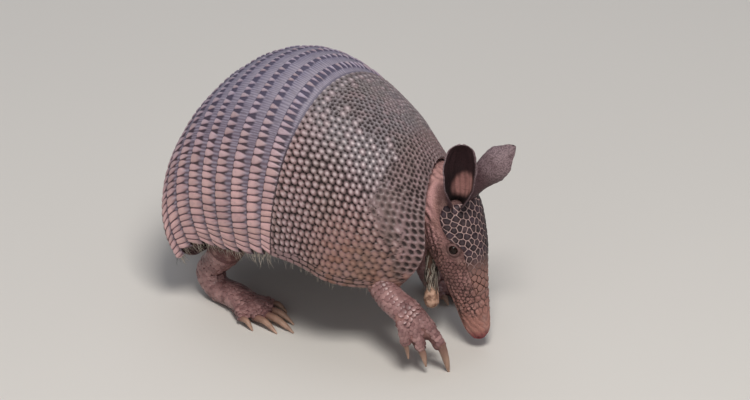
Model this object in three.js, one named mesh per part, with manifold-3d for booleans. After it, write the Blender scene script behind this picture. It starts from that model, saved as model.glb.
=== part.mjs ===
// A nine-banded armadillo at life size, rooting in the ground: back arched, nose down, head turned a little
// to its left and tail curled round its left side. Millimetres: +X is the way it faces, +Y its left side and
// +Z up, with the origin on the ground under the middle of the animal.

import * as THREE from "three";
import { mergeVertices } from "three/addons/utils/BufferGeometryUtils.js";
import Module from "manifold-3d";

const wasm = await Module();
wasm.setup();

// ---------------------------------------------------------------- driving sizes

const BAND_COUNT = 9;
const BAND_PITCH = 13.1; // along the back, from one band's free edge to the next
const SHOULDER_SHIELD = 85; // length of the shoulder shield along the back
const HIP_SHIELD = 84; // length of the hip shield along the back
const BACK_HEIGHT = 166.5; // the back above the ground where the shoulder shield meets the first band
const PLATE = 2.2; // thickness of the horny plates
const BAND_STEP = 1.3; // how far a band's front edge lies under the plate before it
const GAP = 0.4; // clearance between neighbouring pieces
const HEAD_LENGTH = 104; // from between the ears to the nose, along the forehead
const EYE_RADIUS = 3.4;
const TAIL_RINGS = 12;

// Places along the back are measured from the shoulder shield's rear edge, forward positive.
const BANDS_END = -BAND_COUNT * BAND_PITCH;
const HIPS_END = BANDS_END - HIP_SHIELD;

// ---------------------------------------------------------------- curves and vectors

const vec = (x, y, z) => new THREE.Vector3(x, y, z);
const rad = THREE.MathUtils.degToRad;
const lerp = THREE.MathUtils.lerp;
const steps = (from, to, count) => Array.from({ length: count + 1 }, (_, i) => lerp(from, to, i / count));

// A smooth curve through the knots [place, value] that never overshoots them: a monotone cubic.
function through(...knots) {
  const last = knots.length - 1;
  const width = knots.slice(1).map(([t], i) => t - knots[i][0]);
  const rise = knots.slice(1).map(([, v], i) => (v - knots[i][1]) / width[i]);
  const slope = knots.map((_, i) => {
    if (i === 0) return rise[0];
    if (i === last) return rise[last - 1];
    if (rise[i - 1] * rise[i] <= 0) return 0;
    const before = 2 * width[i] + width[i - 1];
    const after = width[i] + 2 * width[i - 1];
    return (before + after) / (before / rise[i - 1] + after / rise[i]);
  });
  return (t) => {
    const held = THREE.MathUtils.clamp(t, knots[0][0], knots[last][0]);
    const i = Math.min(last - 1, knots.findLastIndex(([place]) => place <= held));
    const x = (held - knots[i][0]) / width[i];
    const bend = x * (1 - x) * width[i];
    return (
      lerp(knots[i][1], knots[i + 1][1], x * x * (3 - 2 * x)) +
      bend * ((1 - x) * slope[i] - x * slope[i + 1])
    );
  };
}

// ---------------------------------------------------------------- solids

// A closed mesh through rings of points, each ring going round the same way. The ends close with a fan, or
// with a strip where the rings go out along a wall's outer face and back along its inner one.
function loft(rings, walls = false) {
  const sides = rings[0].length;
  const middle = (ring) => ring.reduce((sum, p) => sum.add(p), vec(0, 0, 0)).divideScalar(sides);
  const points = rings.flat();
  const faces = [];
  const quad = (a, b, c, d) => faces.push(a, b, c, a, c, d);
  const start = (rings.length - 1) * sides; // where the last ring starts
  for (let i = 0; i < sides; i++) {
    const next = (i + 1) % sides;
    for (let r = 0; r < start; r += sides) quad(r + i, r + next, r + sides + next, r + sides + i);
    if (!walls) faces.push(points.length, next, i, points.length + 1, start + i, start + next);
  }
  if (walls) {
    for (let i = 0; i + 1 < sides / 2; i++) {
      const [back, ahead] = [sides - 1 - i, sides - 2 - i];
      quad(i + 1, i, back, ahead);
      quad(start + i, start + i + 1, start + ahead, start + back);
    }
  } else {
    points.push(middle(rings[0]), middle(rings.at(-1)));
  }
  const geometry = new THREE.BufferGeometry().setFromPoints(points);
  geometry.setIndex(faces);
  return solid(geometry);
}

// A geometry as a manifold-3d solid, turned the right way out if its rings went round the other way.
function solid(geometry) {
  const bare = geometry.clone();
  bare.deleteAttribute("normal");
  bare.deleteAttribute("uv");
  const merged = mergeVertices(bare, 1e-4);
  const places = merged.attributes.position.array;
  const triVerts = new Uint32Array(merged.index.array);
  const make = () =>
    new wasm.Manifold(new wasm.Mesh({ numProp: 3, vertProperties: places, triVerts }));
  const made = make();
  if (made.volume() > 0) return made;
  for (let i = 0; i < triVerts.length; i += 3) {
    [triVerts[i + 1], triVerts[i + 2]] = [triVerts[i + 2], triVerts[i + 1]];
  }
  return make();
}

// The largest body of a solid, for a piece that a cut has left with crumbs.
const mainBody = (made) => made.decompose().sort((a, b) => b.volume() - a.volume())[0];

const joined = (...pieces) => pieces.reduce((all, piece) => all.add(piece));
const without = (piece, ...cutters) =>
  mainBody(cutters.reduce((left, cutter) => left.subtract(cutter), piece));

const ball = (centre, radius, width = 10, height = 7) =>
  solid(new THREE.SphereGeometry(radius, width, height).translate(centre.x, centre.y, centre.z));

const belowGround = solid(new THREE.BoxGeometry(900, 900, 100).translate(0, 0, -50));

// A limb along the points of its middle line: at each, half its width and half its depth, with the depth
// measured along `thick`, and the way it runs there if that isn't plain from its neighbours. Extra swells it
// all over, to cut a neighbour clear of it.
function limb(stations, thick, sides = 10, extra = 0) {
  const line = stations.map(([place]) => place);
  const rings = stations.map(([place, wide, deep, way], i) => {
    const next = line[Math.min(i + 1, line.length - 1)];
    const along = way ?? next.clone().sub(line[Math.max(i - 1, 0)]).normalize();
    const across = new THREE.Vector3().crossVectors(thick, along).normalize();
    const depthways = new THREE.Vector3().crossVectors(along, across).normalize();
    return steps(0, 2 * Math.PI, sides)
      .slice(0, -1)
      .map((a) =>
        place
          .clone()
          .addScaledVector(across, (wide + extra) * Math.cos(a))
          .addScaledVector(depthways, (deep + extra) * Math.sin(a)),
      );
  });
  return loft(rings);
}

// ---------------------------------------------------------------- the back's line and the shell's section

// How steeply the back climbs going forward, in degrees.
const climb = through(
  [HIPS_END, 97],
  [BANDS_END, 66],
  [BANDS_END / 2, 23],
  [0, -12.5],
  [SHOULDER_SHIELD, -42.5],
);
const TURN_PER_MM = 0.25; // degrees to the left, ahead of the shoulder shield's rear edge

// The shell's section is part of an ellipse, square to the back and swept forward or back down its sides.
const halfWidth = through(
  [HIPS_END, 30],
  [BANDS_END - 42, 68],
  [BANDS_END, 86],
  [BANDS_END / 2, 77.5],
  [0, 70.5],
  [SHOULDER_SHIELD / 2, 68.5],
  [SHOULDER_SHIELD, 34.5],
);
const halfDepth = through(
  [HIPS_END, 34],
  [BANDS_END, 46],
  [BANDS_END / 2, 79],
  [0, 99],
  [SHOULDER_SHIELD / 2, 95],
  [SHOULDER_SHIELD, 37.5],
);
const edgeAngle = through(
  [HIPS_END, 88],
  [BANDS_END - 30, 102],
  [BANDS_END, 112],
  [BANDS_END / 2, 113],
  [0, 91],
  [SHOULDER_SHIELD / 2, 85.5],
  [SHOULDER_SHIELD, 111],
);
const sweep = through(
  [HIPS_END, -16],
  [BANDS_END, -50],
  [BANDS_END / 2, -20],
  [0, 25],
  [SHOULDER_SHIELD, 41],
);

// The shoulder shield's front corners are rounded off.
const CORNER_CUT = 9;
const CORNER_FROM = 0.68; // the share of the way down each side where the rounding starts
const intoCorner = (u) => Math.max(0, (Math.abs(u) - CORNER_FROM) / (1 - CORNER_FROM));
const shieldFront = (u) => SHOULDER_SHIELD - CORNER_CUT * intoCorner(u) ** 2;

// The back's line, followed in short steps both ways from the shoulder shield's rear edge.
const LINE_STEP = 1;
const backLine = new Map([[0, vec(0, 0, BACK_HEIGHT)]]);
const turnedAt = (t) => rad(TURN_PER_MM * Math.max(0, t));
function forwardAt(t) {
  const [up, left] = [rad(climb(t)), turnedAt(t)];
  return vec(Math.cos(up) * Math.cos(left), Math.cos(up) * Math.sin(left), Math.sin(up));
}
for (const way of [LINE_STEP, -LINE_STEP]) {
  const end = way > 0 ? Math.ceil(SHOULDER_SHIELD) + 20 : Math.floor(HIPS_END) - 20;
  for (let t = 0; t !== end; t += way) {
    backLine.set(t + way, backLine.get(t).clone().addScaledVector(forwardAt(t + way / 2), way));
  }
}
function backPoint(t) {
  const whole = Math.floor(t);
  return backLine.get(whole).clone().lerp(backLine.get(whole + 1), t - whole);
}

// A point of the shell: t along the back, u from -1 at its right edge to 1 at its left, and depth under its
// surface.
function shellPoint(t, u, depth = 0) {
  const forward = forwardAt(t);
  const left = vec(-Math.sin(turnedAt(t)), Math.cos(turnedAt(t)), 0);
  const up = new THREE.Vector3().crossVectors(forward, left);
  const angle = u * rad(edgeAngle(t));
  const [wide, deep] = [halfWidth(t), halfDepth(t)];
  const slant = Math.hypot(deep * Math.sin(angle), wide * Math.cos(angle));
  const sideways = wide * Math.sin(angle) - (depth * deep * Math.sin(angle)) / slant;
  const down = deep * (1 - Math.cos(angle)) + (depth * wide * Math.cos(angle)) / slant;
  return backPoint(t)
    .addScaledVector(left, sideways)
    .addScaledVector(up, -down)
    .addScaledVector(forward, sweep(t) * (1 - Math.cos(angle)));
}

// A plate of the shell, through stations along the back, each [t, depth of the outer face, depth of the
// inner one], where t may be a function of the way round.
const SHELL_SIDES = 20; // facets round the shell
const shellTurns = steps(-1, 1, SHELL_SIDES);
const innerDepth = BAND_STEP + PLATE;
function plate(stations, turns = shellTurns) {
  const rings = stations.map(([t, outside, inside = innerDepth]) => {
    const at = (u) => (typeof t === "function" ? t(u) : t);
    return [
      ...turns.map((u) => shellPoint(at(u), u, outside)),
      ...turns.toReversed().map((u) => shellPoint(at(u), u, inside)),
    ];
  });
  return loft(rings, true);
}

// ---------------------------------------------------------------- shell

const shoulderStations = steps(0, 1, 6).map((v) => (u) => lerp(GAP / 2, shieldFront(u), v));
const hipStations = [...steps(HIPS_END, BANDS_END - BAND_PITCH / 2, 5), BANDS_END - GAP / 2];

function shoulderShield() {
  return plate(shoulderStations.map((t, i) => [t, 0, i + 1 < shoulderStations.length ? innerDepth : PLATE]));
}

function hipShield() {
  return plate(hipStations.map((t, i) => [t, i + 1 < hipStations.length ? 0 : BAND_STEP]));
}

// A band rises from its tucked front edge to its free rear edge, which stands over the next plate.
function band(number) {
  const [front, rear] = [-(number - 1) * BAND_PITCH - GAP / 2, -number * BAND_PITCH + GAP / 2];
  return plate([[rear, 0], [lerp(rear, front, 0.6), 0.3], [front, BAND_STEP]]);
}

// ---------------------------------------------------------------- trunk and neck

const BODY_DEPTH = innerDepth + 2 * GAP; // the body's surface under the shell's
const TRUNK_FRONT = 62;
const bellySag = through([HIPS_END, 4], [BANDS_END, 10], [0, 26], [TRUNK_FRONT, 12]);
const BELLY_SIDES = 6;

// The trunk fills the shell, short of its lower edges, and rounds below it into the belly.
function trunk(extra = 0) {
  const stations = [...steps(HIPS_END + 6, 0, 12), ...steps(0, TRUNK_FRONT, 4).slice(1)];
  const rings = stations.map((t) => {
    const over = shellTurns.slice(1, -1).map((u) => shellPoint(t, u, BODY_DEPTH - extra));
    const [right, left] = [over[0], over.at(-1)];
    const down = new THREE.Vector3().crossVectors(forwardAt(t), left.clone().sub(right).normalize()).negate();
    const under = steps(0, Math.PI, BELLY_SIDES)
      .slice(1, -1)
      .map((a) =>
        left
          .clone()
          .lerp(right, (1 - Math.cos(a)) / 2)
          .addScaledVector(down, (bellySag(t) + extra) * Math.sin(a)),
      );
    return [...over, ...under];
  });
  return loft(rings);
}

// ---------------------------------------------------------------- head

// The forehead runs straight from between the ears down to the nose.
const FOREHEAD_TOP = vec(95, 17, 111);
const toNose = vec(0.2, 0, -0.98).normalize();
const faceOut = vec(0.98, 0, 0.2).normalize(); // square to the forehead, away from the throat
const headLeft = vec(0, 1, 0);

const snoutHalfWidth = [[66, 12], [86, 9], [97, 8], [HEAD_LENGTH, 6]];
const headHalfWidth = through([-9, 11], [0, 15.5], [16, 19], [34, 17.5], [48, 15], ...snoutHalfWidth);
const snoutDepth = [[60, 33], [80, 24.5], [96, 19], [HEAD_LENGTH, 13]];
const headDepth = through([-9, 22], [0, 35], [20, 46], [40, 44], ...snoutDepth);
const snoutSink = [[60, -0.2], [85, 1.5], [96, 1.6], [HEAD_LENGTH, 4]];
const foreheadSink = through([-9, 9], [0, 4], [18, -2], [38, -3], ...snoutSink);

// A point on the head: s from the ears towards the nose, and the angle round it from the forehead, left
// positive.
function headPoint(s, angle, extra = 0) {
  const [wide, deep] = [headHalfWidth(s) + extra, headDepth(s) / 2 + extra];
  const pinch = 1 - 0.16 * Math.max(0, -Math.cos(angle)); // the jaw is narrower than the brow
  return FOREHEAD_TOP.clone()
    .addScaledVector(toNose, s)
    .addScaledVector(faceOut, -foreheadSink(s) - headDepth(s) / 2 + deep * Math.cos(angle))
    .addScaledVector(headLeft, wide * pinch * Math.sin(angle));
}

const HEAD_SIDES = 14;
function head(extra = 0) {
  const round = steps(0, 2 * Math.PI, HEAD_SIDES).slice(0, -1);
  const stations = [-9 - extra, -3, 6, 17, 28, 38, 48, 60, 73, 86, 97, HEAD_LENGTH + extra];
  return loft(stations.map((s) => round.map((a) => headPoint(s, a, extra))));
}

// The horny shield on top of the head, from between the ears to half way down the snout.
const BROW_SHIELD_FROM = 4;
const BROW_SHIELD_TO = 66;
const BROW_THICKNESS = 1.2;
const BROW_CLEARANCE = 0.6;
function browShield() {
  const reach = through([BROW_SHIELD_FROM, 48], [18, 62], [28, 52], [42, 36], [BROW_SHIELD_TO, 24]);
  return loft(
    steps(BROW_SHIELD_FROM, BROW_SHIELD_TO, 7).map((s) => {
      const round = steps(-rad(reach(s)), rad(reach(s)), 6);
      return [
        ...round.map((a) => headPoint(s, a, BROW_CLEARANCE + BROW_THICKNESS)),
        ...round.toReversed().map((a) => headPoint(s, a, BROW_CLEARANCE)),
      ];
    }),
    true,
  );
}

const EYE_AT = 37; // down the head
const EYE_ROUND = 57; // degrees round from the forehead
function eyeCentre(side) {
  const lid = headPoint(EYE_AT, side * rad(EYE_ROUND));
  const middle = headPoint(EYE_AT, 0).lerp(headPoint(EYE_AT, Math.PI), 0.5);
  return lid.lerp(middle, (EYE_RADIUS * 0.62) / lid.distanceTo(middle));
}

// The fleshy wart under each cheek, which carries a tuft of long hairs.
const WART_LENGTH = 37;
function cheekWart(side) {
  const root = headPoint(46, side * rad(138));
  const hang = vec(0.12, side * 0.1, -1).normalize();
  return limb(
    [
      [root.clone().addScaledVector(hang, -4), 4.2, 4.2],
      [root.clone().addScaledVector(hang, WART_LENGTH * 0.35), 3.6, 3.4],
      [root.clone().addScaledVector(hang, WART_LENGTH * 0.8), 4.6, 4.4],
      [root.clone().addScaledVector(hang, WART_LENGTH), 3, 2.8],
    ],
    vec(1, 0, 0),
    8,
  );
}

// ---------------------------------------------------------------- ears

// An ear is a leaf rolled into a scoop: narrow and nearly closed at its root, open above, round at its tip.
const EAR_WALL = 1.3;
const earHalfWidth = through([0, 5.6], [0.3, 9.4], [0.6, 10.4], [0.85, 7.6], [1, 1.6]);
const earRoll = through([0, 150], [0.35, 100], [1, 62]); // degrees each way from the ear's back
function ear({ root, tip, opens }) {
  const along = tip.clone().sub(root).normalize();
  const length = tip.distanceTo(root);
  const across = new THREE.Vector3().crossVectors(along, opens).normalize();
  const out = new THREE.Vector3().crossVectors(across, along).normalize();
  const wallPoint = (v, w, inset) => {
    const turn = w * rad(earRoll(v));
    const bow = earHalfWidth(v) / Math.max(0.6, Math.sin(Math.min(rad(earRoll(v)), Math.PI / 2)));
    const radius = Math.max(0.3, bow - inset);
    return root
      .clone()
      .addScaledVector(along, v * length)
      .addScaledVector(across, radius * Math.sin(turn))
      .addScaledVector(out, bow * 0.9 - radius * Math.cos(turn) - bow * 0.5);
  };
  const turns = steps(-1, 1, 8);
  return loft(
    steps(0, 1, 7).map((v) => [
      ...turns.map((w) => wallPoint(v, w, 0)),
      ...turns.toReversed().map((w) => wallPoint(v, w, EAR_WALL)),
    ]),
    true,
  );
}

const EARS = {
  right: { root: vec(96, 5, 109), tip: vec(102, 3, 152), opens: vec(0.72, -0.69, 0) },
  left: { root: vec(94, 29, 107), tip: vec(108, 49, 136), opens: vec(0.1, 0.99, 0) },
};

// ---------------------------------------------------------------- neck

// The neck comes out of the shoulder shield's front opening and carries the head against it.
function neck(extra = 0) {
  const t = TRUNK_FRONT + GAP;
  const [shieldMiddle, throat] = [shellPoint(t, 0, 45), headPoint(20, Math.PI)];
  const nape = headPoint(8, 0).lerp(headPoint(8, Math.PI), 0.55);
  return limb(
    [
      [shieldMiddle, 34, 36],
      [shieldMiddle.clone().lerp(nape, 0.5).lerp(throat, 0.1), 27, 31],
      [nape, 19, 21],
    ],
    vec(0.3, 0, 0.95).normalize(),
    16,
    extra,
  );
}

// ---------------------------------------------------------------- legs, toes and claws

// A claw: a curved horn from the toe's end to its point, flat beneath.
function claw(root, tip, width, arch = 2.4) {
  const middle = root.clone().lerp(tip, 0.5);
  const bent = root.clone().lerp(tip, 0.78);
  middle.z += arch;
  bent.z += arch * 0.6;
  return limb(
    [
      [root, width, width * 0.85],
      [middle, width * 0.85, width * 0.75],
      [bent, width * 0.5, width * 0.5],
      [tip, 0.45, 0.45],
    ],
    vec(0, 0, 1),
    6,
  );
}

// A toe, from its knuckle to where its claw begins.
function toe(knuckle, end, radius, extra = 0) {
  const middle = knuckle.clone().lerp(end, 0.5);
  middle.z += radius * 0.35;
  return limb(
    [
      [knuckle, radius, radius],
      [middle, radius * 1.05, radius],
      [end, radius * 0.8, radius * 0.75],
    ],
    vec(0, 0, 1),
    6,
    extra,
  );
}

// The right forefoot reaches forward and digs, its claws set in the ground; the left one stands flat.
const FORELEGS = {
  right: {
    line: [
      [vec(52, -22, 80), 11, 12],
      [vec(57, -27, 66), 11, 11.5],
      [vec(63, -30.5, 54), 10.5, 10.5],
      [vec(70, -33, 47.5), 9.5, 8.8],
      [vec(79, -34, 43.5), 9.5, 8.1],
      [vec(88.5, -33.5, 40), 10, 7.4],
      [vec(96, -33, 37), 9.5, 6.2],
    ],
    toes: [
      { knuckle: vec(92, -43, 38), end: vec(96, -44, 25), tip: vec(98, -42, 13), radius: 3.4, width: 2 },
      { knuckle: vec(94, -37, 38), end: vec(102, -36, 21), tip: vec(105, -33, 6), radius: 4.4, width: 2.8 },
      { knuckle: vec(96, -32, 39), end: vec(110, -25, 22), tip: vec(113, -20, -1), radius: 4.9, width: 3.2 },
      { knuckle: vec(93, -27, 39), end: vec(98, -20, 27), tip: vec(101, -16, 15), radius: 3.2, width: 1.9 },
    ],
  },
  left: {
    line: [
      [vec(40, 34, 88), 12, 13],
      [vec(34, 41, 70), 12, 12.5],
      [vec(29, 48, 50), 11, 11.5],
      [vec(25, 53, 30), 9.5, 9.5],
      [vec(27, 54, 14), 9.5, 8.5],
      [vec(35, 54, 7.3), 11, 7.5],
      [vec(42, 54, 5.6), 10.5, 6],
    ],
    toes: [
      { knuckle: vec(40, 45, 5), end: vec(48, 43, 4), tip: vec(55, 42, 0.6), radius: 3.4, width: 2 },
      { knuckle: vec(42, 51, 5.4), end: vec(54, 50, 4.6), tip: vec(69, 50, 0), radius: 4.4, width: 2.8 },
      { knuckle: vec(42, 57, 5.4), end: vec(53, 58, 4.6), tip: vec(67, 59, 0), radius: 4.4, width: 2.8 },
      { knuckle: vec(39, 63, 5), end: vec(46, 66, 4), tip: vec(53, 68, 0.6), radius: 3.4, width: 2 },
    ],
  },
};

// The hind feet stand flat on heel and toes; side is -1 on the right and 1 on the left.
function hindLeg(side, shift) {
  const place = (x, y, z) => vec(x + shift, side * y, z);
  return {
    line: [
      [place(-72, 44, 82), 17, 24],
      [place(-62, 50, 62), 17, 22],
      [place(-54, 51, 44), 13, 14],
      [place(-61, 51, 30), 9.5, 9.5],
      [place(-70, 52, 14), 8.5, 8.5],
      [place(-62, 52, 7.4), 9, 7.8],
      [place(-46, 52, 7.2), 10, 7.6],
      [place(-32, 53, 5.6), 12, 6],
    ],
    toes: [-1, -0.5, 0, 0.5, 1].map((spread) => {
      const reach = 14 - 7 * spread * spread;
      const [y, splay] = [53 + 9.5 * spread, 53 + 14 * spread];
      return {
        knuckle: place(-34, y, 5.2),
        end: place(-34 + reach, splay, 4.2),
        tip: place(-20 + 1.9 * reach - 8 * Math.abs(spread), splay + 2 * spread, 0.4),
        radius: 4.2 - 0.8 * Math.abs(spread),
        width: 2.7 - 0.6 * Math.abs(spread),
      };
    }),
  };
}

const HIND_LEGS = { right: hindLeg(-1, 0), left: hindLeg(1, -2) };
const THICK_WAY = vec(0.94, 0, 0.34).normalize();

function legSolid({ line, toes }, extra = 0) {
  return joined(
    limb(line, THICK_WAY, 10, extra),
    ...toes.map(({ knuckle, end, radius }) => toe(knuckle, end, radius, extra)),
  );
}

// ---------------------------------------------------------------- tail

// The tail drops from under the hip shield to the ground and curls forward along the left side.
const TAIL_ROOT = backPoint(HIPS_END + 10).add(vec(14, 0, 0));
const tailLine = new THREE.CatmullRomCurve3([
  TAIL_ROOT,
  vec(TAIL_ROOT.x - 24, 1, 32),
  vec(TAIL_ROOT.x - 44, 15, 15),
  vec(TAIL_ROOT.x - 56, 52, 8),
  vec(TAIL_ROOT.x - 38, 92, 7),
  vec(TAIL_ROOT.x, 116, 5),
  vec(TAIL_ROOT.x + 42, 114, 3.5),
  vec(TAIL_ROOT.x + 70, 94, 2),
]);
const tailRadius = through([0, 16], [0.12, 14.5], [0.35, 10], [0.7, 5.4], [1, 1.6]);
const TAIL_RINGED = 0.7; // the share of the tail that wears rings
const TAIL_RESTS = 0.3; // from here on it lies along the ground
const TAIL_FLAT = 0.3; // how much its underside is flattened there

function tailStretch(from, to, count, sides) {
  const stations = steps(from, to, count).map((v) => {
    const radius = tailRadius(v);
    const place = tailLine.getPointAt(v);
    const resting = THREE.MathUtils.smoothstep(v, TAIL_RESTS - 0.08, TAIL_RESTS);
    place.z = lerp(place.z, radius - TAIL_FLAT, resting);
    return [place, radius, radius, tailLine.getTangentAt(v)];
  });
  return limb(stations, vec(0, 0, 1), sides);
}

// ---------------------------------------------------------------- colours

const finish = (color, roughness) => new THREE.MeshStandardMaterial({ color, roughness, metalness: 0 });
const HORN = finish(0x8d7470, 0.55);
const BROW_HORN = finish(0x4a4248, 0.5);
const SKIN = finish(0x9b7267, 0.75);
const EAR_SKIN = finish(0x4d3c3e, 0.7);
const EYE = finish(0x14100f, 0.1);
const CLAW = finish(0xb59a80, 0.4);
const WART = finish(0xc8ba86, 0.6);

// ---------------------------------------------------------------- assembly

const armadillo = new THREE.Group();
armadillo.name = "armadillo";
const CENTRING = [24.05, -18.25, 0]; // brings the middle of its length and width over the origin

function show(name, made, material) {
  const { vertProperties, triVerts, numProp } = made.translate(CENTRING).getMesh();
  const flat = [];
  for (const v of triVerts) flat.push(...vertProperties.subarray(v * numProp, v * numProp + 3));
  const geometry = new THREE.BufferGeometry();
  geometry.setAttribute("position", new THREE.Float32BufferAttribute(flat, 3));
  geometry.computeVertexNormals();
  const mesh = new THREE.Mesh(geometry, material);
  mesh.name = name;
  armadillo.add(mesh);
}

// The space taken by the plate that lies ahead of t, where the plates crowd together along their lower edges.
const plateAhead = (t) => plate([t, t + BAND_PITCH].map((at) => [at, -GAP, innerDepth + GAP]));
show("shield_shoulder", shoulderShield(), HORN);
for (let number = 1; number <= BAND_COUNT; number++) {
  show("band_" + number, without(band(number), plateAhead(-(number - 1) * BAND_PITCH)), HORN);
}
show("shield_hip", without(hipShield(), plateAhead(BANDS_END)), HORN);

const bandStations = steps(BANDS_END, 0, BAND_COUNT).slice(1, -1);
const shellStations = [HIPS_END - 1, ...hipStations, ...bandStations, ...shoulderStations];
const pastEdges = [-1.015, ...shellTurns, 1.015];
const shellSpace = plate(shellStations.map((t) => [t, -GAP, innerDepth + GAP]), pastEdges);
const shellAndBeyond = plate(shellStations.map((t) => [t, -50, innerDepth + GAP]), pastEdges);
const body = without(trunk(), shellSpace);
const trunkSpace = trunk(GAP).add(body);
const headSpace = head(GAP);
const SIDES = { right: -1, left: 1 };
const sideNames = Object.keys(SIDES);
const eyeSpaces = sideNames.map((side) => ball(eyeCentre(SIDES[side]), EYE_RADIUS + GAP));
const ears = sideNames.map((side) => ear(EARS[side]));

show("head", without(head(), ...eyeSpaces, shellSpace), SKIN);
show("brow_shield", without(browShield(), ...eyeSpaces), BROW_HORN);
for (const [i, side] of sideNames.entries()) {
  show("eye_" + side, ball(eyeCentre(SIDES[side]), EYE_RADIUS), EYE);
  show("ear_" + side, without(ears[i], headSpace, browShield(), shellSpace), EAR_SKIN);
  show("cheek_wart_" + side, without(cheekWart(SIDES[side]), headSpace), WART);
}
show("trunk", body, SKIN);
const throat = without(neck(), headSpace, browShield(), trunkSpace, shellSpace, ...ears);
const neckSpace = neck(GAP);
show("neck", throat, SKIN);

for (const side of sideNames) {
  for (const [place, leg] of [["front", FORELEGS[side]], ["hind", HIND_LEGS[side]]]) {
    const name = place + "_" + side;
    show("leg_" + name, without(legSolid(leg), trunkSpace, neckSpace, shellAndBeyond, belowGround), SKIN);
    for (const [i, { end, tip, width, knuckle, radius }] of leg.toes.entries()) {
      const horn = claw(end, tip, width);
      show("claw_" + name + "_" + (i + 1), without(horn, toe(knuckle, end, radius, GAP), belowGround), CLAW);
    }
  }
}

const ringLength = TAIL_RINGED / TAIL_RINGS;
const ringGap = GAP / tailLine.getLength();
for (let ring = 0; ring < TAIL_RINGS; ring++) {
  const made = tailStretch(ring * ringLength, (ring + 1) * ringLength - ringGap, 1, 12);
  show("tail_ring_" + (ring + 1), without(made, trunkSpace, shellSpace, belowGround), HORN);
}
show("tail_tip", without(tailStretch(TAIL_RINGED, 1, 6, 8), belowGround), HORN);

export default armadillo;
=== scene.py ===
"""A nine-banded armadillo at life size, as a still museum model: rooting with its nose to the ground.

Lengths are worked out in millimetres, with x = 0 under the shoulder shield's rear edge at the crest, and
each mesh is then brought into the frame's metres. +X is the way it faces, +Y its left side, +Z up.
"""

import math

import bmesh
import bpy
import numpy as np
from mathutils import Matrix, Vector, noise
from mathutils.bvhtree import BVHTree


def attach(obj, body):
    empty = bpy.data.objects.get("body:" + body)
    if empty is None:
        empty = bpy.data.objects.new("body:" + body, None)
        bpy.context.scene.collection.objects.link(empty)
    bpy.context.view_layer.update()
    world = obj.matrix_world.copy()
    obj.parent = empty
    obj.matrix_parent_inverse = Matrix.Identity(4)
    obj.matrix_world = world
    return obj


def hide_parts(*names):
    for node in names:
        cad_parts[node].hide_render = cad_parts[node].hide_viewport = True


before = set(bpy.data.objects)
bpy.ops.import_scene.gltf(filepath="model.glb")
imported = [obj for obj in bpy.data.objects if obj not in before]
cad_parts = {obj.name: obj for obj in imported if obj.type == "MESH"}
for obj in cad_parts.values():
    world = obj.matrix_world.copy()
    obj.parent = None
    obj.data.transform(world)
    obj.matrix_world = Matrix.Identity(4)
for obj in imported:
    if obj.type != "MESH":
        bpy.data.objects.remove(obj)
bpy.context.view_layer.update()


# ---------------------------------------------------------------- shoulder shield
# The shell is bone under thin horn. This rigid plate of it rests on neck and shoulders, set with scutes a
# little under 5 mm apart: domed between grooves on the sides, pitted along the crest and by the neck. The
# grooves, pits and domes' feet are painted dark as shade, and the domes' tops carry painted highlights.

BAND_COUNT = 9
BAND_PITCH = 13.1
SHOULDER_LENGTH = 85.0
HIP_LENGTH = 84.0
BACK_HEIGHT = 166.5  # the shoulder shield's rear edge above the ground, at the crest
PLATE_THICKNESS = 2.2
BAND_STEP = 1.3  # how far a band's front edge lies under the plate before it
GAP = 0.4  # clearance between neighbouring plates
TURN_PER_MM = 0.25  # degrees to the left, ahead of the shoulder shield's rear edge
BANDS_END = -BAND_COUNT * BAND_PITCH  # along the back, forward positive
HIPS_END = BANDS_END - HIP_LENGTH
INNER_DEPTH = BAND_STEP + PLATE_THICKNESS
SIDE_ARC = 138.0  # from the crest round to a shield's lower edge
SCUTE_PITCH = 4.7
FINE_PITCH = 3.2  # of the small pits along the crest
ROW_SHARE = 0.866  # how far apart a honeycomb's rows lie, as a share of its pitch
SCUTE_COVER = 0.8  # how far the scutes' feet lie under the shell's own surface
CORNER_CUT = 9.0
CORNER_FROM = 0.68
DOME_RELIEF = 1.0
PIT_RELIEF = 0.8
MARGIN_ROWS = 2
MARGIN_PITCH = 3.3
MARGIN_SCUTE = 6.4
CENTRING = np.array([24.05, -18.25, 0.0])  # from these lengths' origin to the frame's
METRES = 0.001


def through(*knots):
    """A smooth curve through [place, value] knots that never overshoots them, held level past its ends."""
    places, values = np.array(knots, float).T
    lengths = np.diff(places)
    rises = np.diff(values) / lengths
    slopes = np.concatenate([rises[:1], np.zeros(len(rises) - 1), rises[-1:]])
    for i in range(1, len(rises)):
        if rises[i - 1] * rises[i] > 0:
            slopes[i] = 2 * rises[i - 1] * rises[i] / (rises[i - 1] + rises[i])

    def curve(at):
        at = np.clip(at, places[0], places[-1])
        i = np.clip(np.searchsorted(places, at, side="right") - 1, 0, len(lengths) - 1)
        s = (at - places[i]) / lengths[i]
        start = values[i] * (1 + 2 * s) * (1 - s) ** 2 + slopes[i] * lengths[i] * s * (1 - s) ** 2
        end = values[i + 1] * s**2 * (3 - 2 * s) + slopes[i + 1] * lengths[i] * s**2 * (s - 1)
        return start + end

    return curve


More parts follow.
